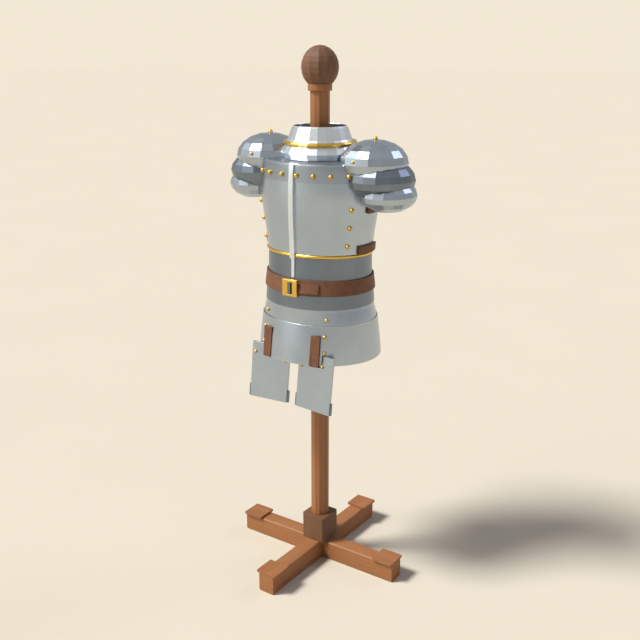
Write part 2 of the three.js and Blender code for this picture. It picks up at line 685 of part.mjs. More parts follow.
// The tasset is a plate with its sides and top turned back, over a dark bar along its foot.
function tassetPlate(side) {
  const { inner, outer, taper, bottom, top, innerTop, notchX, depth } = TASSET;
  const plateOutline = (inset) => [
    [inner + inset, bottom], [outer - inset, bottom], [outer - inset - taper, top - inset],
    [notchX + inset, top - inset], [notchX + inset, innerTop - inset],
    [inner + inset, innerTop - inset],
  ];
  const barTop = TASSET_BAR.top + GAP;
  let plate = leaningSlab(TASSET, plateOutline(0), 0, depth)
    .subtract(leaningSlab(TASSET, plateOutline(STEEL), STEEL, depth + 1))
    .subtract(leaningSlab(TASSET, rectangle(0, 500, 300, barTop), STEEL, depth + 1))
    .subtract(skirtSpace(SKIRT_SECTIONS[0].z - GAP));
  const outward = new THREE.Vector3(-TASSET.turn, -1, TASSET.lean);
  const place = ({ x, z }) => {
    const point = new THREE.Vector3(x, 0, z).applyMatrix4(leaningMatrix(TASSET));
    return placement(point, outward);
  };
  TASSET_RIVETS[side].forEach((spot) => { plate = plate.add(rivet(PLATE_RIVET, place(spot), true)); });
  return plate.add(rivet(PIN, place(TASSET_PINS[side]), true));
}

function tassetBar() {
  const { bottom, top, back, bevel, overhang } = TASSET_BAR;
  const near = STEEL + GAP;
  const outline = [
    [near, bottom], [back - bevel, bottom], [back, bottom + bevel], [back, top - bevel],
    [back - bevel, top], [near, top],
  ];
  const start = TASSET.inner - overhang;
  const length = TASSET.outer - TASSET.inner + 2 * overhang;
  return extrudedOnPlane(TASSET, outline, start, length, [Y_AXIS, Z_AXIS, X_AXIS]);
}

function buildTassets() {
  const bar = tassetBar();
  const strap = tassetStrap();
  bothSides.forEach(({ side, sign }) => {
    const placed = (body) => (sign > 0 ? body : body.mirror([1, 0, 0]));
    addPiece(`tasset_${side}`, placed(tassetPlate(side)), LIGHT_STEEL);
    addPiece(`tasset_bar_${side}`, placed(bar), DARK_STEEL);
    addPiece(`tasset_strap_${side}`, placed(strap), LEATHER);
  });
}

// ---------------------------------------------------------------- gorget
const gorgetRingSections = Array.from({ length: GORGET_RING.sides }, (_, i) => {
  const angle = (2 * Math.PI * i) / GORGET_RING.sides;
  const radius = GORGET_RING.radius + GORGET_RING.tube * Math.cos(angle);
  return { z: GORGET_RING.z + GORGET_RING.tube * Math.sin(angle), halfWidth: radius, halfDepth: radius };
});

function buildGorget() {
  addPiece('gorget_lower', hoop(roundSections(GORGET_LOWER), NECK_SIDES), LIGHT_STEEL);
  addPiece('gorget_upper', hoop(roundSections(GORGET_UPPER), NECK_SIDES), LIGHT_STEEL);
  addPiece('gorget_ring', sweptRings(gorgetRingSections, NECK_SIDES), BRASS);
}

// ---------------------------------------------------------------- pauldrons
const degrees = THREE.MathUtils.degToRad;

// Rings of a lame at its rows, on an ellipsoid that is larger by a distance.
const lameRings = ({ x, z, halfWidth, halfDepth, height, rows }, grow = 0) => rows.map((row) => ({
  centre: x,
  z: z + (height + grow) * Math.sin(degrees(row)),
  halfWidth: (halfWidth + grow) * Math.cos(degrees(row)),
  halfDepth: (halfDepth + grow) * Math.cos(degrees(row)),
}));

function lameShell(lame) {
  const outer = lameRings(lame);
  const inner = lameRings(lame, -STEEL).reverse();
  inner[inner.length - 1].z = outer[0].z;
  if (lame !== DOME) return sweptRings([...outer, ...inner], SHOULDER_SIDES);
  const top = (drop) => [lame.x, 0, lame.z + lame.height - drop];
  return sweptRings([...inner, ...outer], SHOULDER_SIDES, [top(STEEL), top(0)]);
}

// The whole space of a lame's ellipsoid, grown by a distance.
function lameSpace(lame, grow, rows = [-54, -36, -18, 0, 18, 36, 54], sides = SHOULDER_SIDES) {
  const rings = lameRings({ ...lame, rows }, grow);
  const pole = (side) => [lame.x, 0, lame.z + side * (lame.height + grow)];
  return sweptRings(rings, sides, [pole(-1), pole(1)]);
}

// What is cut out of the lame that runs on under another one: its plain, hidden edge.
const tuckSpace = (lame) => lameSpace(lame, -LAME_TUCK, [-45, 0, 45], SHOULDER_SIDES / 2);

// The space of the band's last rivet, which the left dome and middle lame lie against.
function bandRivetSpace() {
  const size = { ...RIVET, radius: RIVET.radius + 2 * GAP, height: RIVET.height + 2 * GAP };
  return rivet(size, bandRivetPlaces().pop(), true);
}

function buildPauldrons() {
  const neighbours = [
    filled(CUIRASS_SECTIONS, BODY_SIDES, GAP),
    filled(bandSections, BODY_SIDES, GAP),
    filled(roundSections(GORGET_LOWER), NECK_SIDES, GAP),
    filled(roundSections(GORGET_COLLAR_SPACE), NECK_SIDES, GAP),
    ...SIDE_STRAPS.map((strap) => sideStrap(strap, 1, GAP)),
    box([100, ARMPIT.front, 1150], [ARMPIT.outer, ARMPIT.back, ARMHOLE.z + 30]),
  ];
  const rivets = DOME_RIVETS.map(({ name, out, height, size }) => {
    const level = Math.cos(degrees(height));
    const side = level * Math.sin(degrees(out));
    const unit = new THREE.Vector3(side, -level * Math.cos(degrees(out)), Math.sin(degrees(height)));
    const radii = new THREE.Vector3(DOME.halfWidth, DOME.halfDepth, DOME.height);
    const point = unit.clone().multiply(radii).add(new THREE.Vector3(DOME.x, 0, DOME.z));
    return { name, size, place: placement(point, unit.clone().divide(radii)) };
  });
  const pieces = [
    { name: 'dome', lame: DOME, material: LIGHT_STEEL, gaps: [lameSpace(MIDDLE_LAME, GAP)] },
    {
      name: 'middle',
      lame: MIDDLE_LAME,
      material: DARK_STEEL,
      gaps: [lameSpace(LOWER_LAME, GAP), tuckSpace(DOME)],
    },
    { name: 'lower', lame: LOWER_LAME, material: LIGHT_STEEL, gaps: [tuckSpace(MIDDLE_LAME)] },
  ];
  pieces.forEach(({ name, lame, material, gaps }) => {
    let body = lameShell(lame);
    [...neighbours, ...gaps].forEach((gap) => { body = body.subtract(gap); });
    if (name === 'dome') {
      rivets.forEach(({ size, place }) => { body = body.subtract(rivetHole(size, place)); });
    }
    const left = name === 'lower' ? body : body.subtract(bandRivetSpace());
    addPiece(`pauldron_left_${name}`, left, material);
    addPiece(`pauldron_right_${name}`, body.mirror([1, 0, 0]), material);
  });
  rivets.forEach(({ name, size, place }) => {
    const body = rivet(size, place);
    addPiece(`rivet_pauldron_left_${name}`, body, BRASS);
    addPiece(`rivet_pauldron_right_${name}`, body.mirror([1, 0, 0]), BRASS);
  });
}

buildStand();
buildCuirass();
buildRidge();
buildWaist();
buildFauld();
buildSideStraps();
buildTassets();
buildGorget();
buildPauldrons();

export default model;
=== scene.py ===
"""A steel half armour on its wooden cross-foot stand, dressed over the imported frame.

Sizes are millimetres in the classes and metres in the scene. +Z is up, the armour faces -Y and +X
is the wearer's left. Angles round the trunk start at the front and grow towards +X.
"""

import logging
import math
from dataclasses import dataclass, field
from enum import Enum
from typing import Any, Iterable, Sequence

import bpy
import numpy as np
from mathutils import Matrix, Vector

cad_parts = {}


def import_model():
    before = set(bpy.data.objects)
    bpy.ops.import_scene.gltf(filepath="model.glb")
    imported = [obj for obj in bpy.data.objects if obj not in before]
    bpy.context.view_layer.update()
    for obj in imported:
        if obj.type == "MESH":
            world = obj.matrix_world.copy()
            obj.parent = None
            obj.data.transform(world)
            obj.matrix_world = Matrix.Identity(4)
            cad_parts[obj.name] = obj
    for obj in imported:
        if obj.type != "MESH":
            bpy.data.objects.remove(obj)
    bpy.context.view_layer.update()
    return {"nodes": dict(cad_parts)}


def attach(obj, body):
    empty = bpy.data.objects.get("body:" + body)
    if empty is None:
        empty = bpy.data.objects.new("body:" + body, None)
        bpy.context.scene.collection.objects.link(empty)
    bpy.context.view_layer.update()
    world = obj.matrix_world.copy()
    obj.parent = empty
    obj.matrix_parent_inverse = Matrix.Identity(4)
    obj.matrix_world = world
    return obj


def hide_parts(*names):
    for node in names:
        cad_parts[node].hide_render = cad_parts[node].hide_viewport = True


log = logging.getLogger("armour")

MM = 0.001
GAP = 0.3  # clearance between neighbouring plates
STEEL = 2.0  # wall of every steel plate
LAID_OFF = 0.6  # how far leather lies off the plate under it
BAND_OFF = 2.3  # how far the chest band's outer face stands off the breastplate's

Row = tuple[float, ...]

# Outer faces of the trunk pieces, from the lower edge up: height, half width, half depth and the
# exponent of the ring's curve (2 is an ellipse, more is squarer).
CHEST_ROWS: tuple[Row, ...] = (
    (1072.3, 171.5, 139.5, 2.0),
    (1117.0, 174.6, 140.8, 2.04),
    (1156.0, 180.0, 143.0, 2.08),
    (1200.0, 187.0, 144.0, 2.12),
    (1240.0, 190.5, 143.5, 2.15),
    (1280.0, 187.5, 141.4, 2.15),
    (1334.0, 179.5, 138.6, 2.15),
    (1338.0, 174.0, 134.0, 2.12),
    (1341.2, 98.0, 98.0, 2.0),
)
WAIST_ROWS: tuple[Row, ...] = (
    (907.0, 176.0, 154.0, 2.0),
    (952.0, 172.5, 150.5, 2.0),
    (998.0, 169.2, 140.5, 2.0),
    (1030.0, 168.6, 138.5, 2.0),
    (1084.0, 168.8, 136.2, 2.0),
)
FAULD_ROWS: tuple[Row, ...] = (
    (845.0, 186.3, 156.6, 2.08),
    (861.0, 184.6, 154.4, 2.06),
    (885.0, 179.0, 152.6, 2.03),
    (907.0, 173.6, 151.5, 2.0),
    (925.0, 171.6, 149.2, 2.0),
)
SKIRT_ROWS: tuple[Row, ...] = (
    (740.5, 200.5, 176.0, 2.0),
    (800.0, 194.4, 167.0, 2.05),
    (861.0, 187.0, 156.8, 2.08),
)


class Side(Enum):
    """The two sides of the wearer, with the sign of X."""

    LEFT = 1
    RIGHT = -1

    @property
    def word(self) -> str:
        """The side as it stands in piece names."""
        return self.name.lower()


class Axis(Enum):
    """The way that a timber's grain runs."""

    X = 0
    Y = 1
    Z = 2


# ---------------------------------------------------------------- curves and surfaces
def smooth_curve(stations: np.ndarray, values: np.ndarray, at: np.ndarray) -> np.ndarray:
    """Carries a smooth curve through values given at stations.

    The curve is a cubic between stations, and its slope at each is the harmonic mean of the slopes
    on both sides, or level where they differ in sign, so it never swings past a value.

    Args:
        stations: rising places, n of them.
        values: n rows of values.
        at: places to read.

    Returns:
        One row of values for each place in at.
    """
    step = np.diff(stations)[:, None]
    slope = np.diff(values, axis=0) / step
    product = slope[1:] * slope[:-1]
    total = np.where(product > 0, slope[1:] + slope[:-1], 1.0)
    middle = np.where(product > 0, 2 * product / total, 0.0)
    slopes = np.concatenate([slope[:1], middle, slope[-1:]])
    i = np.clip(np.searchsorted(stations, at, side="right") - 1, 0, len(step) - 1)
    t = ((at - stations[i]) / step[i, 0])[:, None]
    return (
        (2 * t**3 - 3 * t**2 + 1) * values[i]
        + (t**3 - 2 * t**2 + t) * step[i] * slopes[i]
        + (3 * t**2 - 2 * t**3) * values[i + 1]
        + (t**3 - t**2) * step[i] * slopes[i + 1]
    )


def points_of(x: np.ndarray, y: np.ndarray, z: np.ndarray) -> np.ndarray:
    """Points from three arrays that are spread to one shape."""
    return np.stack(np.broadcast_arrays(x, y, z), axis=-1)


class Profile:
    """The outer face of a piece that goes round the trunk, as rings that change with height."""

    def __init__(self, rows: Sequence[Row]) -> None:
        """Takes rows of height, half width, half depth and curve, from the lower edge up."""
        self.rows = np.array(rows, float)
        run = np.hypot(np.diff(self.rows[:, 0]), np.diff(self.rows[:, 1]))
        self.stations = np.concatenate([[0.0], np.cumsum(run)])
        self.fine = np.linspace(0.0, self.stations[-1], 600)
        self.heights = smooth_curve(self.stations, self.rows, self.fine)[:, 0]

    def station(self, z: np.ndarray | float) -> np.ndarray:
        """The place along the profile at a height."""
        return np.interp(z, self.heights, self.fine)

    def rings(self, stations: np.ndarray, angle: np.ndarray, grow: float = 0.0) -> np.ndarray:
        """Points on the face.

        A ring is a superellipse: across is the half width times the sine of the angle to the power
        2 over the curve, forward is the half depth times its cosine to the same power.

        Args:
            stations: places along the profile, one for each row.
            angle: angles from the front, the same for all rows or one line for each.
            grow: how much wider and deeper than the face.

        Returns:
            Points as rows by columns by 3.
        """
        values = smooth_curve(self.stations, self.rows, np.asarray(stations, float))
        z, half_width, half_depth, curve = (values[:, k : k + 1] for k in range(4))
        angle = np.broadcast_to(angle, (len(z), np.shape(angle)[-1]))
        sine, cosine = np.sin(angle), np.cos(angle)
        x = (half_width + grow) * np.sign(sine) * np.abs(sine) ** (2 / curve)
        y = -(half_depth + grow) * np.sign(cosine) * np.abs(cosine) ** (2 / curve)
        return points_of(x, y, z)

    def angle_at_depth(self, stations: np.ndarray, y: np.ndarray) -> np.ndarray:
        """The angle at which each row reaches a place in depth: the rings' rule turned about."""
        values = smooth_curve(self.stations, self.rows, stations)
        share = np.clip(np.abs(y) / values[:, 2], 0.0, 1.0) ** (values[:, 3] / 2)
        return np.arccos(-np.sign(y) * share)

    def angle_at_side(self, stations: np.ndarray, x: float) -> np.ndarray:
        """The angle at which each row's front reaches a place to the side."""
        values = smooth_curve(self.stations, self.rows, stations)
        share = np.clip(np.abs(x) / values[:, 1], 0.0, 1.0) ** (values[:, 3] / 2)
        return np.sign(x) * np.arcsin(share)

    def depth(self, x: np.ndarray, z: np.ndarray) -> np.ndarray:
        """Depth of the front in front of the axis, at a place to the side and a height."""
        values = smooth_curve(self.stations, self.rows, self.station(np.atleast_1d(z)))
        share = np.clip(np.abs(x) / values[:, 1], 0.0, 1.0) ** values[:, 3]
        return values[:, 2] * (1 - share) ** (1 / values[:, 3])

    def seat(self, x: float, z: float) -> tuple[np.ndarray, np.ndarray]:
        """The point of the front at x and z, and the direction square to it, from its slopes."""
        across = self.depth(np.array([x + 0.5, x - 0.5]), np.array([z, z]))
        up = self.depth(np.array([x, x]), np.array([z + 0.5, z - 0.5]))
        point = np.array([x, -self.depth(np.array([x]), np.array([z]))[0], z])
        normal = np.array([-(across[0] - across[1]), -1.0, -(up[0] - up[1])])
        return point, normal / np.linalg.norm(normal)


@dataclass
class Skin:
    """A closed surface in millimetres: points, faces in groups of one size, and a rim value.

    The rim value is 1 at an edge of the sheet and falls to 0 some millimetres inside it, for the
    wear along edges.
    """

    points: np.ndarray
    faces: list[np.ndarray]
    rim: np.ndarray | None = None

    def volume(self) -> float:
        """Signed volume, which is negative where the faces look inwards."""
        total = 0.0
        for group in self.faces:
            corner = self.points[group]
            for k in range(1, group.shape[1] - 1):
                cross = np.cross(corner[:, k], corner[:, k + 1])
                total += float(np.einsum("ij,ij->", corner[:, 0], cross)) / 6
        return total

    def turned_out(self) -> "Skin":
        """The same surface with its faces looking outwards."""
        if self.volume() < 0:
            self.faces = [group[:, ::-1] for group in self.faces]
        return self

    def mirrored(self) -> "Skin":
        """The same surface on the wearer's other side."""
        points = self.points * np.array([-1.0, 1.0, 1.0])
        return Skin(points, [group[:, ::-1] for group in self.faces], self.rim)

    @staticmethod
    def joined(skins: Iterable["Skin"]) -> "Skin":
        """Several surfaces as one."""
        parts = list(skins)
        starts = np.cumsum([0, *(len(part.points) for part in parts)])
        faces = [group + start for part, start in zip(parts, starts) for group in part.faces]
        rims = [np.zeros(len(p.points)) if p.rim is None else p.rim for p in parts]
        return Skin(np.concatenate([p.points for p in parts]), faces, np.concatenate(rims))


def grid_faces(rows: int, columns: int, wrap_rows: bool, wrap_columns: bool) -> np.ndarray:
    """Four-sided faces between the points of a grid that is numbered row by row."""
    i, j = np.meshgrid(
        np.arange(rows if wrap_rows else rows - 1),
        np.arange(columns if wrap_columns else columns - 1),
        indexing="ij",
    )
    i, j = i.ravel(), j.ravel()
    up, along = (i + 1) % rows, (j + 1) % columns
    return np.stack(
        [i * columns + j, i * columns + along, up * columns + along, up * columns + j], axis=1
    )


def grid_normals(points: np.ndarray, closed: bool) -> np.ndarray:
    """Unit normals of a grid: the cross product of its direction along the rows and up them."""
    if closed:
        along = np.roll(points, -1, axis=1) - np.roll(points, 1, axis=1)
    else:
        along = np.gradient(points, axis=1)
    normals = np.cross(along, np.gradient(points, axis=0))
    return normals / np.linalg.norm(normals, axis=-1, keepdims=True)


def edge_distance(points: np.ndarray, closed: bool) -> np.ndarray:
    """Distance of each grid point from the nearest edge of the sheet, along rows and columns."""
    up = np.linalg.norm(np.diff(points, axis=0), axis=-1)
    zero = np.zeros((1, points.shape[1]))
    rise = np.concatenate([zero, np.cumsum(up, axis=0)])
    nearest = np.minimum(rise, rise[-1:] - rise)
    if not closed:
        side = np.linalg.norm(np.diff(points, axis=1), axis=-1)
        zero = np.zeros((points.shape[0], 1))
        run = np.concatenate([zero, np.cumsum(side, axis=1)], axis=1)
        nearest = np.minimum(nearest, np.minimum(run, run[:, -1:] - run))
    return nearest


def sheet(
    points: np.ndarray, thickness: float, out: float = 0.0, closed: bool = False, wear: float = 7.0
) -> Skin:
    """A plate: a grid moved out along its normals, a second one a thickness inside it, and strips
    that close the edges between them.

    Args:
        points: the grid, rows by columns by 3.
        thickness: wall of the plate.
        out: how far its outer face stands off the grid.
        closed: True if the last column joins the first.
        wear: how far the worn edge reaches in.

    Returns:
        The plate's surface.
    """
    rows, columns = points.shape[:2]
    normals = grid_normals(points, closed)
    outer = (points + out * normals).reshape(-1, 3)
    inner = (points + (out - thickness) * normals).reshape(-1, 3)
    count = rows * columns
    face = grid_faces(rows, columns, False, closed)
    numbers = np.arange(count).reshape(rows, columns)
    borders = [(numbers[0], closed), (numbers[-1][::-1], closed)]
    if not closed:
        borders += [(numbers[:, 0][::-1], False), (numbers[:, -1], False)]
    strips = []
    for border, loops in borders:
        start = border if loops else border[:-1]
        end = np.roll(border, -1) if loops else border[1:]
        strips.append(np.stack([start, start + count, end + count, end], axis=1))
    rim = np.clip(1 - edge_distance(points, closed) / wear, 0, 1).ravel()
    skin = Skin(
        np.concatenate([outer, inner]),
        [face, face[:, ::-1] + count, *strips],
        np.concatenate([rim, rim]),
    )
    return skin.turned_out()


def tube(points: np.ndarray, closed: bool) -> Skin:
    """A bar: an outline carried along a path.

    Args:
        points: one outline for each place on the path, places by corners by 3.
        closed: True if the path comes back to its start. Otherwise flat faces end the bar.

    Returns:
        The bar's surface.
    """
    places, corners = points.shape[:2]
    faces = [grid_faces(places, corners, closed, True)]
    if not closed:
        first = np.arange(corners)
        faces += [first[None, ::-1], first[None] + (places - 1) * corners]
    return Skin(points.reshape(-1, 3), faces).turned_out()


def turned(profile: np.ndarray, sides: int) -> Skin:
    """A lathe-turned solid about Z: radius and height of each point of its outline, carried round
    a circle, with the ends closed where the radius is not 0.

    Args:
        profile: rows of radius and height.
        sides: how many steps go round.

    Returns:
        The solid's surface.
    """
    angle = 2 * math.pi * np.arange(sides) / sides
    ring = np.stack([np.cos(angle), np.sin(angle)], axis=-1)
    radius = np.maximum(profile[:, 0], 1e-3)
    across = radius[:, None, None] * ring[None]
    up = np.broadcast_to(profile[:, None, 1:], (len(profile), sides, 1))
    return tube(np.concatenate([across, up], axis=-1), closed=False)


def rounded_outline(width: float, height: float, radius: float, steps: int = 4) -> np.ndarray:
    """A rectangle about the origin whose corners are quarter circles, anticlockwise."""
    turn = np.linspace(0, math.pi / 2, steps)
    corners = []
    for k, (sx, sy) in enumerate(((1, 1), (-1, 1), (-1, -1), (1, -1))):
        middle = np.array([sx * (width / 2 - radius), sy * (height / 2 - radius)])
        angle = turn + k * math.pi / 2
        corners.append(middle + radius * np.stack([np.cos(angle), np.sin(angle)], axis=-1))
    return np.concatenate(corners)


# ---------------------------------------------------------------- finishes
def linear(hex_colour: str) -> tuple[float, float, float, float]:
    """An sRGB hex colour as linear red, green, blue and alpha."""
    value = np.array([int(hex_colour[i : i + 2], 16) for i in (1, 3, 5)]) / 255
    low, high = value / 12.92, ((value + 0.055) / 1.055) ** 2.4
    return (*np.where(value <= 0.04045, low, high).tolist(), 1.0)


def add_node(
    tree: bpy.types.NodeTree, kind: str, links: dict[str | int, Any] | None = None, **settings: Any
) -> bpy.types.Node:
    """Adds a node.

    Args:
        tree: where it goes.
        kind: its Blender type.
        links: for each input, the socket that feeds it or the value that it holds.
        settings: its properties.

    Returns:
        The node.
    """
    node = tree.nodes.new(kind)
    for name, value in settings.items():
        setattr(node, name, value)
    for name, value in (links or {}).items():
        if isinstance(value, bpy.types.NodeSocket):
            tree.links.new(value, node.inputs[name])
        else:
            node.inputs[name].default_value = value
    return node


@dataclass(frozen=True)
class Finish:
    """A material and how its surface was made."""

    name: str
    slot: str
    colour: str
    second: str
    roughness: float

    def start(self) -> tuple[bpy.types.NodeTree, bpy.types.NodeSocket]:
        """An empty material's tree, and the socket of its place in the model."""
        material = bpy.data.materials.new(self.name)
        material.use_nodes = True
        tree = material.node_tree
        tree.nodes.clear()
        place = add_node(tree, "ShaderNodeTexCoord").outputs["Object"]
        return tree, place

    def close(self, tree: bpy.types.NodeTree, **inputs: Any) -> bpy.types.Material:
        """Ends the tree in a Principled shader with these inputs."""
        names = {name.replace("_", " "): value for name, value in inputs.items()}
        shader = add_node(tree, "ShaderNodeBsdfPrincipled", names)
        add_node(tree, "ShaderNodeOutputMaterial", {"Surface": shader.outputs[0]})
        return bpy.data.materials[self.name]

    def build(self) -> bpy.types.Material:
        """Makes the material."""
        raise NotImplementedError

    def noise(
        self, tree: bpy.types.NodeTree, place: Any, size: Sequence[float], detail: float = 3.0
    ) -> bpy.types.NodeSocket:
        """Cloudy pattern whose patches have these sizes in millimetres along X, Y and Z."""
        scale = tuple(1 / (MM * s) for s in size)
        moved = add_node(tree, "ShaderNodeMapping", {"Vector": place, "Scale": scale})
        made = add_node(
            tree,
            "ShaderNodeTexNoise",
            {"Vector": moved.outputs[0], "Scale": 1.0, "Detail": detail, "Roughness": 0.55},
        )
        return made.outputs["Fac"]

    def ramp(
        self, tree: bpy.types.NodeTree, value: Any, low: Any, high: Any, start: float, end: float
    ) -> bpy.types.NodeSocket:
        """Turns a value between start and end into one between low and high."""
        limits = {"Value": value, 1: start, 2: end, 3: low, 4: high}
        return add_node(tree, "ShaderNodeMapRange", limits).outputs[0]

    def blend(
        self, tree: bpy.types.NodeTree, share: Any, first: Any, second: Any
    ) -> bpy.types.NodeSocket:
        """Mixes two colours by a share."""
        links = {0: share, 6: first, 7: second}
        return add_node(tree, "ShaderNodeMix", links, data_type="RGBA").outputs[2]

    def bump(
        self, tree: bpy.types.NodeTree, height: Any, depth: float, strength: float, over: Any = None
    ) -> bpy.types.NodeSocket:
        """Relief of a depth in millimetres, over another relief where one is given."""
        links = {"Height": height, "Distance": depth * MM, "Strength": strength}
        if over is not None:
            links["Normal"] = over
        return add_node(tree, "ShaderNodeBump", links).outputs[0]


@dataclass(frozen=True)
class PolishedPlate(Finish):
    """Mild steel plate, planished over a stake and polished up and down with fine grit.

    It gives long soft reflections, faintly uneven from the hammer, and a brighter worn edge.
    """

    patch: float = 46.0  # distance between hammer marks, mm
    dent: float = 0.05  # their depth, mm
    grit: float = 1.6  # width of polishing lines, mm: real ones are finer than the render shows
    edge: str = "#c9cdcf"

    def build(self) -> bpy.types.Material:
        """Makes the steel."""
        tree, place = self.start()
        cloud = self.noise(tree, place, (110, 110, 150), 2.0)
        lines = self.noise(tree, place, (self.grit, self.grit, 60), 2.0)
        dents = self.noise(tree, place, (self.patch, self.patch, self.patch), 1.0)
        rim = add_node(tree, "ShaderNodeAttribute", attribute_name="rim").outputs["Fac"]
        broken = self.noise(tree, place, (5, 5, 5), 3.0)
        worn = add_node(
            tree,
            "ShaderNodeMath",
            {0: self.ramp(tree, rim, 0.0, 1.0, 0.45, 1.0), 1: broken},
            operation="MULTIPLY",
        ).outputs[0]
        shade = self.blend(
            tree,
            self.ramp(tree, cloud, 0.0, 1.0, 0.3, 0.7),
            linear(self.colour),
            linear(self.second),
        )
        colour = self.blend(tree, worn, shade, linear(self.edge))
        rough = self.ramp(
            tree, lines, self.roughness - 0.03, self.roughness + 0.04, 0.3, 0.7
        )
        relief = self.bump(tree, dents, self.dent, 0.5)
        relief = self.bump(tree, lines, 0.01, 0.12, relief)
        return self.close(
            tree, Base_Color=colour, Metallic=1.0, Roughness=rough, Normal=relief
        )


@dataclass(frozen=True)
class CastBrass(Finish):
    """Yellow brass, cast or rolled and then buffed: warm, with a little brown where it is handled
    least."""

    def build(self) -> bpy.types.Material:
        """Makes the brass."""
        tree, place = self.start()
        cloud = self.noise(tree, place, (34, 34, 34), 3.0)
        fine = self.noise(tree, place, (0.9, 0.9, 0.9), 2.0)
        share = self.ramp(tree, cloud, 0.0, 1.0, 0.35, 0.75)
        colour = self.blend(tree, share, linear(self.colour), linear(self.second))
        rough = self.ramp(tree, cloud, self.roughness - 0.03, self.roughness + 0.05, 0.3, 0.7)
        relief = self.bump(tree, fine, 0.02, 0.1)
        return self.close(tree, Base_Color=colour, Metallic=1.0, Roughness=rough, Normal=relief)


@dataclass(frozen=True)
class OiledLeather(Finish):
    """Vegetable-tanned hide, oiled: a fine pebbled grain, cloudy brown, darker burnished edges."""

    pebble: float = 1.7  # width of a grain cell, mm: a real one is about half that

    def build(self) -> bpy.types.Material:
        """Makes the leather."""
        tree, place = self.start()
        cloud = self.noise(tree, place, (16, 16, 16), 4.0)
        cells = add_node(
            tree,
            "ShaderNodeTexVoronoi",
            {"Vector": place, "Scale": 1 / (MM * self.pebble)},
            feature="SMOOTH_F1",
        ).outputs["Distance"]
        rim = add_node(tree, "ShaderNodeAttribute", attribute_name="rim").outputs["Fac"]
        share = self.ramp(tree, cloud, 0.0, 1.0, 0.3, 0.75)
        colour = self.blend(tree, share, linear(self.colour), linear(self.second))
        edge = self.ramp(tree, rim, 0.0, 0.6, 0.2, 1.0)
        colour = self.blend(tree, edge, colour, linear(self.second))
        rough = self.ramp(tree, cells, self.roughness - 0.08, self.roughness + 0.06, 0.1, 0.6)
        relief = self.bump(tree, cells, 0.12, 0.35)
        return self.close(tree, Base_Color=colour, Roughness=rough, Normal=relief)


@dataclass(frozen=True)
class OiledTimber(Finish):
    """Planed hardwood, stained and oiled: year rings round the grain axis, fine pores along it."""

    axis: Axis = Axis.Z
    ring: float = 7.0  # width of a year ring, mm
    contrast: float = 0.5

    def stretched(self, across: float, along: float) -> tuple[float, ...]:
        """Patch sizes that are long in the grain's direction."""
        return tuple(along if k == self.axis.value else across for k in range(3))

    def build(self) -> bpy.types.Material:
        """Makes the timber."""
        tree, place = self.start()
        drift = self.noise(tree, place, self.stretched(38, 420), 2.0)
        fibre = self.noise(tree, place, self.stretched(1.3, 45), 3.0)
        log_centre = [0.021, 0.027, 0.024]
        log_centre[self.axis.value] = 0.0
        moved = add_node(tree, "ShaderNodeMapping", {"Vector": place, "Location": log_centre})
        rings = add_node(
            tree,
            "ShaderNodeTexWave",
            {
                "Vector": moved.outputs[0],
                "Scale": 0.314 / (MM * self.ring) / 2,
                "Distortion": 3.5,
                "Detail": 2.0,
                "Detail Scale": 0.35,
            },
            wave_type="RINGS",
            rings_direction=self.axis.name,
            wave_profile="SAW",
        ).outputs["Fac"]
        rings = self.ramp(tree, rings, 0.0, self.contrast, 0.15, 0.95)
        drifted = self.ramp(tree, drift, 0.0, 0.45, 0.35, 0.7)
        share = add_node(tree, "ShaderNodeMath", {0: rings, 1: drifted}, operation="ADD").outputs[0]
        colour = self.blend(tree, share, linear(self.colour), linear(self.second))
        pores = self.ramp(tree, fibre, 0.0, 0.28, 0.5, 0.72)
        colour = self.blend(tree, pores, colour, linear(self.second))
        rough = self.ramp(tree, fibre, self.roughness - 0.05, self.roughness + 0.07, 0.3, 0.7)
        relief = self.bump(tree, fibre, 0.08, 0.25)
        return self.close(tree, Base_Color=colour, Roughness=rough, Normal=relief)


LIGHT_STEEL = PolishedPlate("polished_light_steel", "light_steel", "#b2bcc5", "#a9b4be", 0.3)
# The gorget's steel is the chest's light steel painted much paler: a painted reflection of the
# bright light that its upturned facets catch.
NECK_STEEL_PAINTED_LIGHT = PolishedPlate(
    "polished_neck_steel", "light_steel", "#e4e8eb", "#dbe0e4", 0.34, dent=0.02
)
BAND_STEEL = PolishedPlate("polished_band_steel", "band_steel", "#a3abb4", "#9aa3ac", 0.33)
RIDGE_STEEL = PolishedPlate("polished_ridge_steel", "ridge_steel", "#e6edf2", "#dce3e8", 0.28)
DARK_STEEL = PolishedPlate(
    "darkened_steel", "dark_steel", "#7f8891", "#757f88", 0.36, edge="#9aa0a3"
)
BRASS = CastBrass("buffed_brass", "brass", "#e9bf5c", "#deb351", 0.28)
HEAD_BRASS = CastBrass("peened_brass", "brass", "#d6b05c", "#c9a350", 0.42)
LEATHER = OiledLeather("oiled_leather", "leather", "#744a30", "#623c26", 0.6)
BEAM_X = OiledTimber("oiled_beam_side", "post_wood", "#a06b40", "#8f5b34", 0.62, axis=Axis.X)
BEAM_Y = OiledTimber("oiled_beam_front", "post_wood", "#a06b40", "#8f5b34", 0.62, axis=Axis.Y)
POST_WOOD = OiledTimber("oiled_post", "post_wood", "#a06b40", "#8f5b34", 0.5)
DARK_WOOD = OiledTimber("stained_block", "dark_wood", "#745138", "#66452f", 0.62)


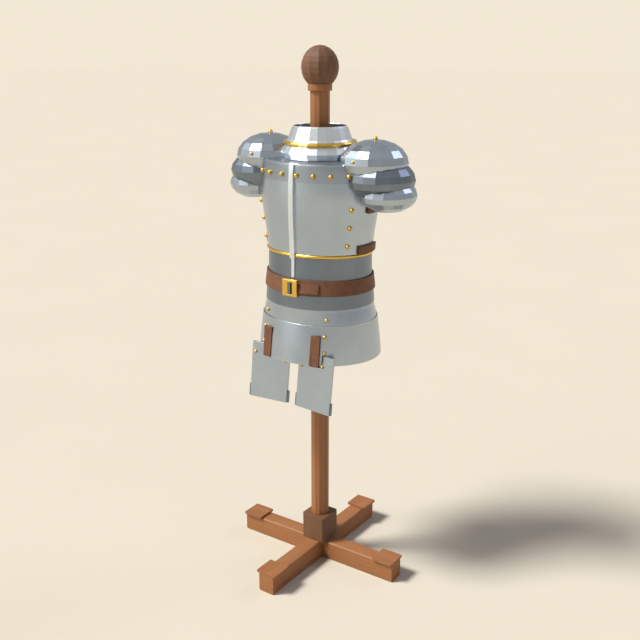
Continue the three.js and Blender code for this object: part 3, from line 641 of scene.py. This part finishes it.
# ---------------------------------------------------------------- workshop
class Workshop:
    """Makes pieces out of surfaces, and dresses the frame's own nodes."""

    def __init__(self, nodes: dict[str, bpy.types.Object]) -> None:
        """Takes the frame's nodes by name."""
        self.nodes = nodes
        self.materials: dict[str, bpy.types.Material] = {}
        self.dressed: set[str] = set()

    def material(self, finish: Finish) -> bpy.types.Material:
        """The material of a finish, made once."""
        if finish.name not in self.materials:
            self.materials[finish.name] = finish.build()
        return self.materials[finish.name]

    def soften(self, piece: bpy.types.Object, edge: float, limit: float) -> None:
        """Rounds the edges of a piece that turn by more than a limit, in degrees."""
        bevel = piece.modifiers.new("softened_edges", "BEVEL")
        bevel.width = edge * MM
        bevel.segments = 2
        bevel.limit_method = "ANGLE"
        bevel.angle_limit = math.radians(limit)
        bevel.harden_normals = True

    def piece(
        self,
        name: str,
        skin: Skin,
        finish: Finish,
        replaces: Sequence[str] = (),
        edge: float = 0.0,
        crease: float = 34.0,
    ) -> bpy.types.Object:
        """Makes a piece that rides on the root body.

        Args:
            name: the piece's name.
            skin: its surface.
            finish: its finish.
            replaces: the frame's nodes that it stands for.
            edge: width of its rounded edges in millimetres, or 0.
            crease: the turn in degrees from which an edge stays sharp or is rounded.

        Returns:
            The new object.
        """
        mesh = bpy.data.meshes.new(name)
        faces = [face for group in skin.faces for face in group.tolist()]
        mesh.from_pydata((skin.points * MM).tolist(), [], faces)
        mesh.update()
        if skin.rim is not None:
            rim = mesh.attributes.new("rim", "FLOAT", "POINT")
            rim.data.foreach_set("value", skin.rim.astype(np.float32))
        mesh.shade_smooth()
        mesh.set_sharp_from_angle(angle=math.radians(crease))
        mesh.materials.append(self.material(finish))
        piece = bpy.data.objects.new(name, mesh)
        bpy.context.scene.collection.objects.link(piece)
        if edge:
            self.soften(piece, edge, crease)
        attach(piece, "root")
        if replaces:
            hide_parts(*replaces)
        log.info("%s: %d points", name, len(skin.points))
        return piece

    def dress(self, name: str, finish: Finish, edge: float = 0.0, limit: float = 30.0) -> None:
        """Gives one of the frame's nodes its finish, and soft edges where a width is given."""
        node = self.nodes[name]
        node.data.materials.clear()
        node.data.materials.append(self.material(finish))
        if edge:
            weld = node.modifiers.new("closed_seams", "WELD")
            weld.merge_threshold = 0.01 * MM
            self.soften(node, edge, limit)
        self.dressed.add(name)
        log.info("%s: dressed", name)


def dome_head(
    point: np.ndarray, normal: np.ndarray, radius: float, height: float, sides: int = 20
) -> Skin:
    """A rivet head: a low dome on a short straight rim, turned so that it stands on a surface.

    The dome's radius falls with the cosine and its height grows with the sine of one angle.
    """
    rise = np.linspace(0, math.pi / 2, 7)
    rim = 0.22 * height
    radii = np.concatenate([[radius * 0.92, radius], radius * np.cos(rise)])
    heights = np.concatenate([[-1.2, 0.0], rim + (height - rim) * np.sin(rise)])
    skin = turned(np.stack([radii, heights], axis=-1), sides)
    up = normal / np.linalg.norm(normal)
    across = np.cross(up, [0.3, 0.2, 1.0] if abs(up[2]) < 0.9 else [1.0, 0.0, 0.0])
    across /= np.linalg.norm(across)
    basis = np.stack([across, np.cross(up, across), up])
    skin.points = point + skin.points @ basis
    return skin.turned_out()


# ---------------------------------------------------------------- stand
@dataclass
class Stand:
    """Two half-lapped beams with foot caps, a socket block, a post, and a ball on a collar."""

    collar_radius: float = 36.0
    collar_low: float = 1534.5
    collar_top: float = 1555.5
    collar_bore: float = 30.0

    def build(self, shop: Workshop) -> None:
        """Makes and dresses the stand."""
        shop.dress("stand_beam_side", BEAM_X, edge=0.8)
        shop.dress("stand_beam_front", BEAM_Y, edge=0.8)
        for end, finish in (
            ("left", BEAM_X),
            ("right", BEAM_X),
            ("front", BEAM_Y),
            ("back", BEAM_Y),
        ):
            shop.dress(f"foot_cap_{end}", finish, edge=0.5)
        shop.dress("base_block", DARK_WOOD, edge=0.8)
        shop.dress("post", POST_WOOD, edge=0.6, limit=20.0)
        shop.dress("shoulder_bar", BEAM_X, edge=0.8)
        shop.dress("ball_finial", DARK_WOOD)
        shop.piece("turned_collar", self.collar(), POST_WOOD, ["post_collar"], edge=0.4)

    def collar(self) -> Skin:
        """The collar: a ring whose outer corners are quarter rounds of 2 mm."""
        turn = np.linspace(0, math.pi / 2, 5)
        low, top, radius, bevel = self.collar_low, self.collar_top, self.collar_radius, 2.0
        across, sine, cosine = radius - bevel, bevel * np.sin(turn), bevel * np.cos(turn)
        lower = np.stack([across + sine, low + bevel - cosine], -1)
        upper = np.stack([across + cosine, top - bevel + sine], -1)
        bore = np.array([[self.collar_bore, top], [self.collar_bore, low]])
        outline = np.concatenate([lower, upper, bore])
        angle = np.linspace(0, 2 * math.pi, 64, endpoint=False)
        around, out = angle[:, None], outline[None, :, 0]
        rings = points_of(out * np.cos(around), out * np.sin(around), outline[None, :, 1])
        return tube(rings, closed=True)


# ---------------------------------------------------------------- cuirass
@dataclass
class Cuirass:
    """Breastplate and backplate with their armholes, and the riveted band round the chest."""

    seam: float = 12.0  # depth of the side seam, which is also the armholes' middle
    armhole_z: float = 1258.0
    armhole: float = 60.0
    band_low: float = 1281.0
    band_top: float = 1334.0
    band_rivet_z: float = 1303.4
    band_rivets: int = 7
    band_rivet_start: float = -41.3
    band_rivet_step: float = 15.3
    rivet: tuple[float, float] = (7.2, 8.8)
    side_rivets: tuple[tuple[str, float, float], ...] = (
        ("upper", 163.5, 1207.0),
        ("middle", 156.0, 1153.7),
        ("lower", 148.3, 1098.3),
    )
    profile: Profile = field(default_factory=lambda: Profile(CHEST_ROWS))

    def levels(self, low: float, top: float) -> np.ndarray:
        """Stations between two heights, closer together where the armhole's circle starts."""
        turn = np.linspace(0, math.pi, 30)
        circle = self.armhole_z - self.armhole * np.cos(turn)
        heights = np.concatenate([np.linspace(low, top, 34), circle])
        heights = np.unique(np.round(heights[(heights >= low) & (heights <= top)], 2))
        return self.profile.station(heights)

    def edge(self, stations: np.ndarray, facing_back: bool) -> np.ndarray:
        """Depth of a plate's side edge: the seam, or the armhole's circle where it is cut out."""
        height = np.interp(stations, self.profile.fine, self.profile.heights)
        drop = np.abs(height - self.armhole_z)
        cut = np.sqrt(np.clip(self.armhole**2 - drop**2, 0, None))
        sign = 1 if facing_back else -1
        return self.seam + sign * (cut + GAP / 2)

    def half(self, stations: np.ndarray, facing_back: bool, columns: int) -> np.ndarray:
        """Grid of the front or back half, between its side edges."""
        end = self.profile.angle_at_depth(stations, self.edge(stations, facing_back))
        share = np.linspace(-1, 1, columns)[None]
        angle = math.pi + share * (math.pi - end[:, None]) if facing_back else share * end[:, None]
        return self.profile.rings(stations, angle)

    def build(self, shop: Workshop) -> None:
        """Makes the plates, the band and their rivets."""
        top = self.profile.station(self.band_top)
        yoke = np.linspace(top, self.profile.stations[-1], 16)[1:]
        stations = np.concatenate([self.levels(CHEST_ROWS[0][0], self.band_top), yoke])
        front = sheet(self.half(stations, False, 97), STEEL)
        back = sheet(self.half(stations, True, 97), STEEL)
        shop.piece("chest_plate", front, LIGHT_STEEL, ["breastplate"], edge=0.35)
        shop.piece("back_plate", back, LIGHT_STEEL, ["backplate"], edge=0.35)
        band_grid = self.half(self.levels(self.band_low, self.band_top), False, 97)
        band = sheet(band_grid, STEEL, out=BAND_OFF)
        shop.piece("chest_band", band, BAND_STEEL, ["breast_band"], edge=0.35)

        width = 1.075 * (smooth_curve(
            self.profile.stations, self.profile.rows,
            np.atleast_1d(self.profile.station(self.band_rivet_z)),
        )[0, 1] + BAND_OFF)
        heads = []
        for k in range(self.band_rivets):
            angle = math.radians(self.band_rivet_start + k * self.band_rivet_step)
            point, normal = self.profile.seat(width * math.sin(angle), self.band_rivet_z)
            heads.append(dome_head(point + BAND_OFF * normal, normal, *self.rivet))
        shop.piece("chest_band_rivets", Skin.joined(heads), HEAD_BRASS)
        for name, x, z in self.side_rivets:
            for side in Side:
                point, normal = self.profile.seat(side.value * x, z)
                head = dome_head(point, normal, *self.rivet)
                node = f"rivet_side_{side.word}_{name}"
                shop.piece(f"side_rivet_{side.word}_{name}", head, HEAD_BRASS, [node])


@dataclass
class Ridge:
    """The bright bar down the middle of the chest, narrower over the waist."""

    chest_width: float = 17.0
    waist_width: float = 11.0
    step: float = 1056.0
    low: float = 1000.0
    top: float = 1334.0
    band_low: float = 1281.0  # from here up it lies on the chest band
    sunk: float = 0.6  # how deep its back reaches into the plates
    corner: float = 1.6
    rows: tuple[Row, ...] = (
        (1000.0, 144.0),
        (1052.0, 143.0),
        (1062.0, 147.6),
        (1090.0, 148.0),
        (1156.0, 151.4),
        (1200.0, 152.8),
        (1240.0, 152.6),
        (1285.0, 150.5),
        (1325.0, 147.5),
        (1334.0, 145.5),
    )

    def bar(self, low: float, top: float, width: float, count: int) -> Skin:
        """A stretch of the bar: its outline is a rectangle with rounded front corners, which
        follows the front depth on its face and the plates on its back."""
        z = np.linspace(low, top, count)
        rows = np.array(self.rows)
        front = smooth_curve(rows[:, 0], rows[:, 1:], z)[:, 0]
        chest, waist = Profile(CHEST_ROWS), Profile(WAIST_ROWS)
        side = np.full(count, width / 2)
        chest_low, waist_top = CHEST_ROWS[0][0], WAIST_ROWS[-1][0]
        on_waist = waist.depth(side, np.minimum(z, waist_top))
        back = np.where(z > chest_low, chest.depth(side, z), on_waist)
        back = np.where(z > self.band_low, back + BAND_OFF, back) - self.sunk
        turn = np.linspace(0, math.pi / 2, 5)
        radius = self.corner
        x = np.concatenate([
            [-width / 2],
            -width / 2 + radius * (1 - np.cos(turn)),
            width / 2 - radius * (1 - np.cos(turn[::-1])),
            [width / 2],
        ])
        drop = np.concatenate([
            radius * (1 - np.sin(turn)), radius * (1 - np.sin(turn[::-1])),
        ])
        y = np.concatenate(
            [-back[:, None], -(front[:, None] - drop[None]), -back[:, None]], axis=1
        )
        return tube(points_of(x, y, z[:, None]), closed=False)

    def build(self, shop: Workshop) -> None:
        """Makes the ridge."""
        chest = self.bar(self.step, self.top, self.chest_width, 60)
        waist = self.bar(self.low, self.step, self.waist_width, 16)
        skin = Skin.joined([chest, waist])
        skin.rim = None
        shop.piece("chest_ridge", skin, RIDGE_STEEL, ["medial_ridge"], edge=0.3)


# ---------------------------------------------------------------- waist and belt
def hoop_grid(
    profile: Profile, low: float, top: float, rows: int, columns: int = 160
) -> np.ndarray:
    """Grid of a closed hoop between two heights of a profile."""
    stations = np.linspace(profile.station(low), profile.station(top), rows)
    return profile.rings(stations, np.linspace(-math.pi, math.pi, columns, endpoint=False))


@dataclass
class Waist:
    """The dark waist plate, its brass bead, and the belt with its tongue and buckle."""

    bead_z: float = 1066.7
    bead_height: float = 10.4
    bead_proud: float = 5.9
    bead_end: float = 8.8  # where it stops beside the ridge
    belt_low: float = 950.0
    belt_top: float = 996.0
    belt_thickness: float = 5.0
    tongue_end: float = 85.0
    tongue_low: float = 956.0
    tongue_top: float = 985.5
    tongue_thickness: float = 4.0
    tip_drop: float = 2.2  # how much the tip's corners are rounded
    buckle_x: float = 1.0
    buckle_width: float = 52.5
    buckle_low: float = 945.5
    buckle_top: float = 997.0
    buckle_front: float = 162.8
    buckle_thickness: float = 9.0
    slot_x: float = 2.5
    slot_width: float = 15.5
    slot_low: float = 952.0
    slot_top: float = 989.0
    prong_x: float = 0.0
    prong_width: float = 8.0
    profile: Profile = field(default_factory=lambda: Profile(WAIST_ROWS))

    def bead(self) -> Skin:
        """The bead: half an ellipse carried round the plate, open in front for the ridge."""
        turn = np.linspace(-math.pi / 2, math.pi / 2, 11)
        rise = 0.5 * self.bead_height * np.sin(turn)
        out = 0.4 + (self.bead_proud - 0.4) * np.cos(turn)
        rise, out = np.append(rise, 0.0), np.append(out, 0.3)
        middle = np.atleast_1d(self.profile.station(self.bead_z))
        opening = self.profile.angle_at_side(middle, self.bead_end)[0]
        angle = np.linspace(opening, 2 * math.pi - opening, 192)
        rings = [
            self.profile.rings([self.profile.station(self.bead_z + up)], angle, grow)[0]
            for up, grow in zip(rise, out)
        ]
        return tube(np.stack(rings, axis=1), closed=False)

    def tongue(self) -> Skin:
        """The belt's end: a sheet over the belt whose tip is square with rounded corners."""
        z = np.linspace(self.tongue_low, self.tongue_top, 15)
        stations = self.profile.station(z)
        start = self.profile.angle_at_side(stations, self.buckle_x + self.buckle_width / 2 + GAP)
        middle = (self.tongue_low + self.tongue_top) / 2
        half = (self.tongue_top - self.tongue_low) / 2
        reach = self.tongue_end - self.tip_drop * ((z - middle) / half) ** 10
        end = np.array([
            self.profile.angle_at_side(stations[k : k + 1], r)[0] for k, r in enumerate(reach)
        ])
        share = np.linspace(0, 1, 40)[None]
        grid = self.profile.rings(stations, start[:, None] + share * (end - start)[:, None])
        out = LAID_OFF + self.belt_thickness + GAP + self.tongue_thickness
        return sheet(grid, self.tongue_thickness, out=out, wear=3.0)

    def buckle(self) -> Skin:
        """The frame: a rounded rectangle round a rectangular slot, swept as one closed bar whose
        section is a rectangle with softened front corners. The frame is flat."""
        outer = rounded_outline(self.buckle_width, self.buckle_top - self.buckle_low, 2.2, 6)
        outer += [self.buckle_x, (self.buckle_top + self.buckle_low) / 2]
        inner = rounded_outline(self.slot_width, self.slot_top - self.slot_low, 1.2, 6)
        inner += [self.slot_x, (self.slot_top + self.slot_low) / 2]
        front, back = self.buckle_front, self.buckle_front - self.buckle_thickness
        soft = 1.0
        toward = (inner - outer) / np.linalg.norm(inner - outer, axis=1, keepdims=True)
        steps = (
            (outer, back), (outer, front - soft), (outer + 0.3 * soft * toward, front - 0.3 * soft),
            (outer + soft * toward, front), (inner - soft * toward, front),
            (inner - 0.3 * soft * toward, front - 0.3 * soft), (inner, front - soft), (inner, back),
        )
        rings = [
            np.stack([flat[:, 0], np.full(len(flat), -depth), flat[:, 1]], axis=-1)
            for flat, depth in steps
        ]
        return tube(np.stack(rings, axis=1), closed=True)

    def prong(self) -> Skin:
        """The prong: a bar with a rounded face that crosses the slot from top to bottom."""
        z = np.linspace(self.slot_low + GAP, self.slot_top - GAP, 12)
        turn = np.linspace(0, math.pi, 9)
        half = self.prong_width / 2
        x = self.prong_x + np.concatenate([[-half], -half * np.cos(turn), [half]])
        face = np.concatenate([[0.0], 1.6 * np.sin(turn), [0.0]])
        deep = np.concatenate([[-6.0], np.zeros(9), [-6.0]])
        y = -(self.buckle_front - 0.9 + face + deep)
        return tube(points_of(x, y, z[:, None]), closed=False)

    def build(self, shop: Workshop) -> None:
        """Makes the waist."""
        plate = sheet(hoop_grid(self.profile, 907.0, 1084.0, 48), STEEL, closed=True)
        shop.piece("waist_girdle", plate, DARK_STEEL, ["waist_plate"], edge=0.35)
        shop.piece("waist_bead", self.bead(), BRASS, ["waist_trim"])
        belt = sheet(
            hoop_grid(self.profile, self.belt_low, self.belt_top, 12), self.belt_thickness,
            out=LAID_OFF + self.belt_thickness, closed=True, wear=2.5,
        )
        shop.piece("waist_belt", belt, LEATHER, ["belt"], edge=1.1)
        shop.piece("belt_end", self.tongue(), LEATHER, ["belt_tongue"], edge=0.9)
        shop.piece("belt_buckle", self.buckle(), BRASS, ["buckle_frame"], crease=50.0)
        shop.piece("belt_prong", self.prong(), DARK_STEEL, ["buckle_prong"])


# ---------------------------------------------------------------- fauld, tassets and straps
@dataclass
class Fauld:
    """The two lames below the waist, and their rivets."""

    rivet: tuple[float, float] = (6.2, 6.8)
    upper: Profile = field(default_factory=lambda: Profile(FAULD_ROWS))
    lower: Profile = field(default_factory=lambda: Profile(SKIRT_ROWS))

    def build(self, shop: Workshop) -> None:
        """Makes the lames."""
        fauld = sheet(hoop_grid(self.upper, 845.0, 925.0, 26), STEEL, closed=True)
        skirt = sheet(hoop_grid(self.lower, 740.5, 861.0, 30), STEEL, closed=True)
        shop.piece("fauld_hoop", fauld, LIGHT_STEEL, ["fauld_lame"], edge=0.35)
        shop.piece("skirt_hoop", skirt, LIGHT_STEEL, ["skirt_lame"], edge=0.35)
        spots = (
            ("upper", self.upper, 109.0, 878.5),
            ("middle", self.lower, 110.0, 828.9),
            ("lower", self.lower, 113.0, 780.0),
        )
        for name, profile, x, z in spots:
            for side in Side:
                point, normal = profile.seat(side.value * x, z)
                node = f"rivet_fauld_{side.word}_{name}"
                head = dome_head(point, normal, *self.rivet)
                shop.piece(f"fauld_rivet_{side.word}_{name}", head, HEAD_BRASS, [node])


@dataclass
class SideStraps:
    """The straps that close the cuirass across its side seams."""

    thickness: float = 7.5
    straps: tuple[tuple[str, float, float, float, float], ...] = (
        ("upper", 1205.0, 22.0, -28.0, 58.0),
        ("lower", 1084.5, 24.0, -43.0, 48.0),
    )

    def build(self, shop: Workshop) -> None:
        """Makes the straps: sheets that lie on the plates' side from a front to a back depth."""
        profile = Profile(CHEST_ROWS)
        for name, z, height, front, back in self.straps:
            levels = profile.station(np.linspace(z - height / 2, z + height / 2, 9))
            start = profile.angle_at_depth(levels, np.full(9, front))
            end = profile.angle_at_depth(levels, np.full(9, back))
            share = np.linspace(0, 1, 40)[None]
            grid = profile.rings(levels, start[:, None] + share * (end - start)[:, None])
            strap = sheet(grid, self.thickness, out=LAID_OFF + self.thickness, wear=2.5)
            for side in Side:
                skin = strap if side is Side.LEFT else strap.mirrored()
                node = f"side_strap_{side.word}_{name}"
                shop.piece(f"seam_strap_{side.word}_{name}", skin, LEATHER, [node], edge=1.0)


@dataclass
class Heads:
    """Brass heads on the shoulders' upright ellipsoids and on the leaning thigh plates."""

    centre: tuple[float, float, float] = (190.0, 0.0, 1338.5)
    radii: tuple[float, float, float] = (99.5, 105.0, 66.0)
    seating: float = 1.4  # how deep a head starts in a flat, mm
    dome_rivets: tuple[tuple[str, float, float, float, float], ...] = (
        ("top", 0.0, 93.0, 7.2, 8.8),
        ("front", -5.0, 9.0, 5.0, 3.2),
    )
    thigh_rivet: tuple[float, float] = (5.6, 6.3)
    thigh_rivets: tuple[tuple[Side, tuple[tuple[float, float], ...]], ...] = (
        (Side.LEFT, ((112.0, 740.0), (30.5, 728.0))),
        (Side.RIGHT, ((140.0, 741.0), (30.5, 728.0))),
    )
    turn: float = 0.099  # how far a thigh plate's face goes forward per mm outward
    lean: float = 0.1275  # how far it goes back per mm upward
    front: float = 233.237  # its depth at the stand's axis and floor

    def shoulder(self, side: Side, out: float, rise: float) -> tuple[np.ndarray, np.ndarray]:
        """A place on a shoulder's ellipsoid, and the direction that it faces."""
        level, turned_by = math.cos(math.radians(rise)), math.radians(out)
        unit = np.array([
            level * math.sin(turned_by), -level * math.cos(turned_by), math.sin(math.radians(rise))
        ])
        mirror = np.array([side.value, 1.0, 1.0])
        return (np.array(self.centre) + unit * self.radii) * mirror, unit / self.radii * mirror

    def thigh(self, side: Side, x: float, z: float) -> tuple[np.ndarray, np.ndarray]:
        """A place on a thigh plate's face, and the direction that it faces."""
        mirror = np.array([side.value, 1.0, 1.0])
        point = np.array([x, self.lean * z - self.turn * x - self.front, z])
        return point * mirror, np.array([-self.turn, -1.0, self.lean]) * mirror

    def build(self, shop: Workshop) -> None:
        """Makes the heads."""
        for side in Side:
            for name, out, rise, radius, height in self.dome_rivets:
                point, facing = self.shoulder(side, out, rise)
                facing = facing / np.linalg.norm(facing)
                head = dome_head(
                    point - self.seating * facing, facing, radius, height + self.seating
                )
                node = f"rivet_pauldron_{side.word}_{name}"
                shop.piece(f"shoulder_rivet_{side.word}_{name}", head, HEAD_BRASS, [node])
        for side, spots in self.thigh_rivets:
            heads = [dome_head(*self.thigh(side, x, z), *self.thigh_rivet) for x, z in spots]
            shop.piece(f"thigh_plate_rivets_{side.word}", Skin.joined(heads), HEAD_BRASS)


def run() -> None:
    """Builds the armour over its frame."""
    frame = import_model()
    shop = Workshop(frame["nodes"])
    Stand().build(shop)
    Cuirass().build(shop)
    Ridge().build(shop)
    Waist().build(shop)
    Fauld().build(shop)
    SideStraps().build(shop)
    Heads().build(shop)
    for side in Side:
        for name in ("dome", "lower"):
            shop.dress(f"pauldron_{side.word}_{name}", LIGHT_STEEL)
        shop.dress(f"pauldron_{side.word}_middle", DARK_STEEL)
        shop.dress(f"tasset_{side.word}", LIGHT_STEEL, edge=0.5, limit=60.0)
        shop.dress(f"tasset_bar_{side.word}", DARK_STEEL)
        shop.dress(f"tasset_strap_{side.word}", LEATHER)
    # The gorget takes the paler steel, whose colour carries a painted reflection.
    shop.dress("gorget_lower", NECK_STEEL_PAINTED_LIGHT)
    shop.dress("gorget_upper", NECK_STEEL_PAINTED_LIGHT)
    shop.dress("gorget_ring", BRASS)
    Studio().build()
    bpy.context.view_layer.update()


# ---------------------------------------------------------------- studio
@dataclass
class Studio:
    """Pale floor, a soft main light from the upper left, a low front light, a cool light from
    behind the right shoulder, and the camera."""

    camera: tuple[float, float, float] = (1.5306, -2.2122, 1.6604)
    target: tuple[float, float, float] = (0.0, 0.0, 0.83)
    lens: float = 50.0
    cream: str = "#f2e8d5"
    floor: str = "#d8d0c0"
    reflected: float = 0.8  # strength of the air in reflections
    ambient: float = 0.36  # and on matt surfaces
    # Each light: name, direction it comes from, strength, width in degrees and colour.
    suns: tuple[tuple[str, tuple[float, float, float], float, float, str], ...] = (
        ("main_sun", (-0.45, -0.43, 0.78), 3.75, 15.0, "#fffdf8"),
        ("front_sun", (-0.55, -0.70, 0.42), 0.7, 50.0, "#ffffff"),
        ("back_sun", (0.42, 0.66, 0.62), 0.45, 25.0, "#d8d6fa"),
    )

    def aim(self, thing: bpy.types.Object, target: Sequence[float]) -> None:
        """Turns a light or camera to look at a point."""
        look = Vector(target) - thing.location
        thing.rotation_mode = "QUATERNION"
        thing.rotation_quaternion = look.to_track_quat("-Z", "Y")

    def sun(
        self, name: str, direction: Sequence[float], strength: float, width: float, tint: str
    ) -> None:
        """Adds a far light that comes from a direction."""
        data = bpy.data.lights.new(name, "SUN")
        data.energy = strength
        data.angle = math.radians(width)
        data.color = linear(tint)[:3]
        lamp = bpy.data.objects.new(name, data)
        bpy.context.scene.collection.objects.link(lamp)
        lamp.location = Vector(self.target) + 4.0 * Vector(direction)
        self.aim(lamp, self.target)

    def world(self) -> None:
        """Even neutral light from all round, weaker on matt surfaces than in reflections, in front
        of which the backdrop is seen as cream."""
        world = bpy.data.worlds.new("studio_air")
        bpy.context.scene.world = world
        world.use_nodes = True
        tree = world.node_tree
        tree.nodes.clear()
        path = add_node(tree, "ShaderNodeLightPath")
        neutral = linear("#cacac9")
        air = add_node(tree, "ShaderNodeBackground", {"Color": neutral, "Strength": self.reflected})
        soft = add_node(tree, "ShaderNodeBackground", {"Color": neutral, "Strength": self.ambient})
        cream = linear(self.cream)
        seen = add_node(tree, "ShaderNodeBackground", {"Color": cream, "Strength": 1.0})
        lit = add_node(
            tree,
            "ShaderNodeMixShader",
            {0: path.outputs["Is Diffuse Ray"], 1: air.outputs[0], 2: soft.outputs[0]},
        )
        mix = add_node(
            tree,
            "ShaderNodeMixShader",
            {0: path.outputs["Is Camera Ray"], 1: lit.outputs[0], 2: seen.outputs[0]},
        )
        add_node(tree, "ShaderNodeOutputWorld", {"Surface": mix.outputs[0]})

    def ground(self) -> None:
        """A wide matt floor that runs to the horizon."""
        mesh = bpy.data.meshes.new("studio_floor")
        far = 60.0
        corners = [(-far, -far, 0), (far, -far, 0), (far, far, 0), (-far, far, 0)]
        mesh.from_pydata(corners, [], [(0, 1, 2, 3)])
        finish = Finish("studio_floor_paint", "", self.floor, "#d5cdbd", 1.0)
        tree, place = finish.start()
        cloud = finish.noise(tree, place, (900, 900, 900), 2.0)
        colour = finish.blend(tree, cloud, linear(finish.colour), linear(finish.second))
        material = finish.close(
            tree, Base_Color=colour, Roughness=1.0, Specular_IOR_Level=0.0
        )
        mesh.materials.append(material)
        floor = bpy.data.objects.new("studio_floor", mesh)
        bpy.context.scene.collection.objects.link(floor)

    def build(self) -> None:
        """Sets the studio up."""
        scene = bpy.context.scene
        scene.view_settings.view_transform = "Standard"
        data = bpy.data.cameras.new("studio_camera")
        data.lens = self.lens
        camera = bpy.data.objects.new("studio_camera", data)
        scene.collection.objects.link(camera)
        camera.location = self.camera
        self.aim(camera, self.target)
        scene.camera = camera
        for light in self.suns:
            self.sun(*light)
        self.world()
        self.ground()


def main() -> None:
    """Builds the armour and reports each piece."""
    logging.basicConfig(level=logging.INFO, format="%(name)s: %(message)s")
    run()


if __name__ == "__main__":
    main()
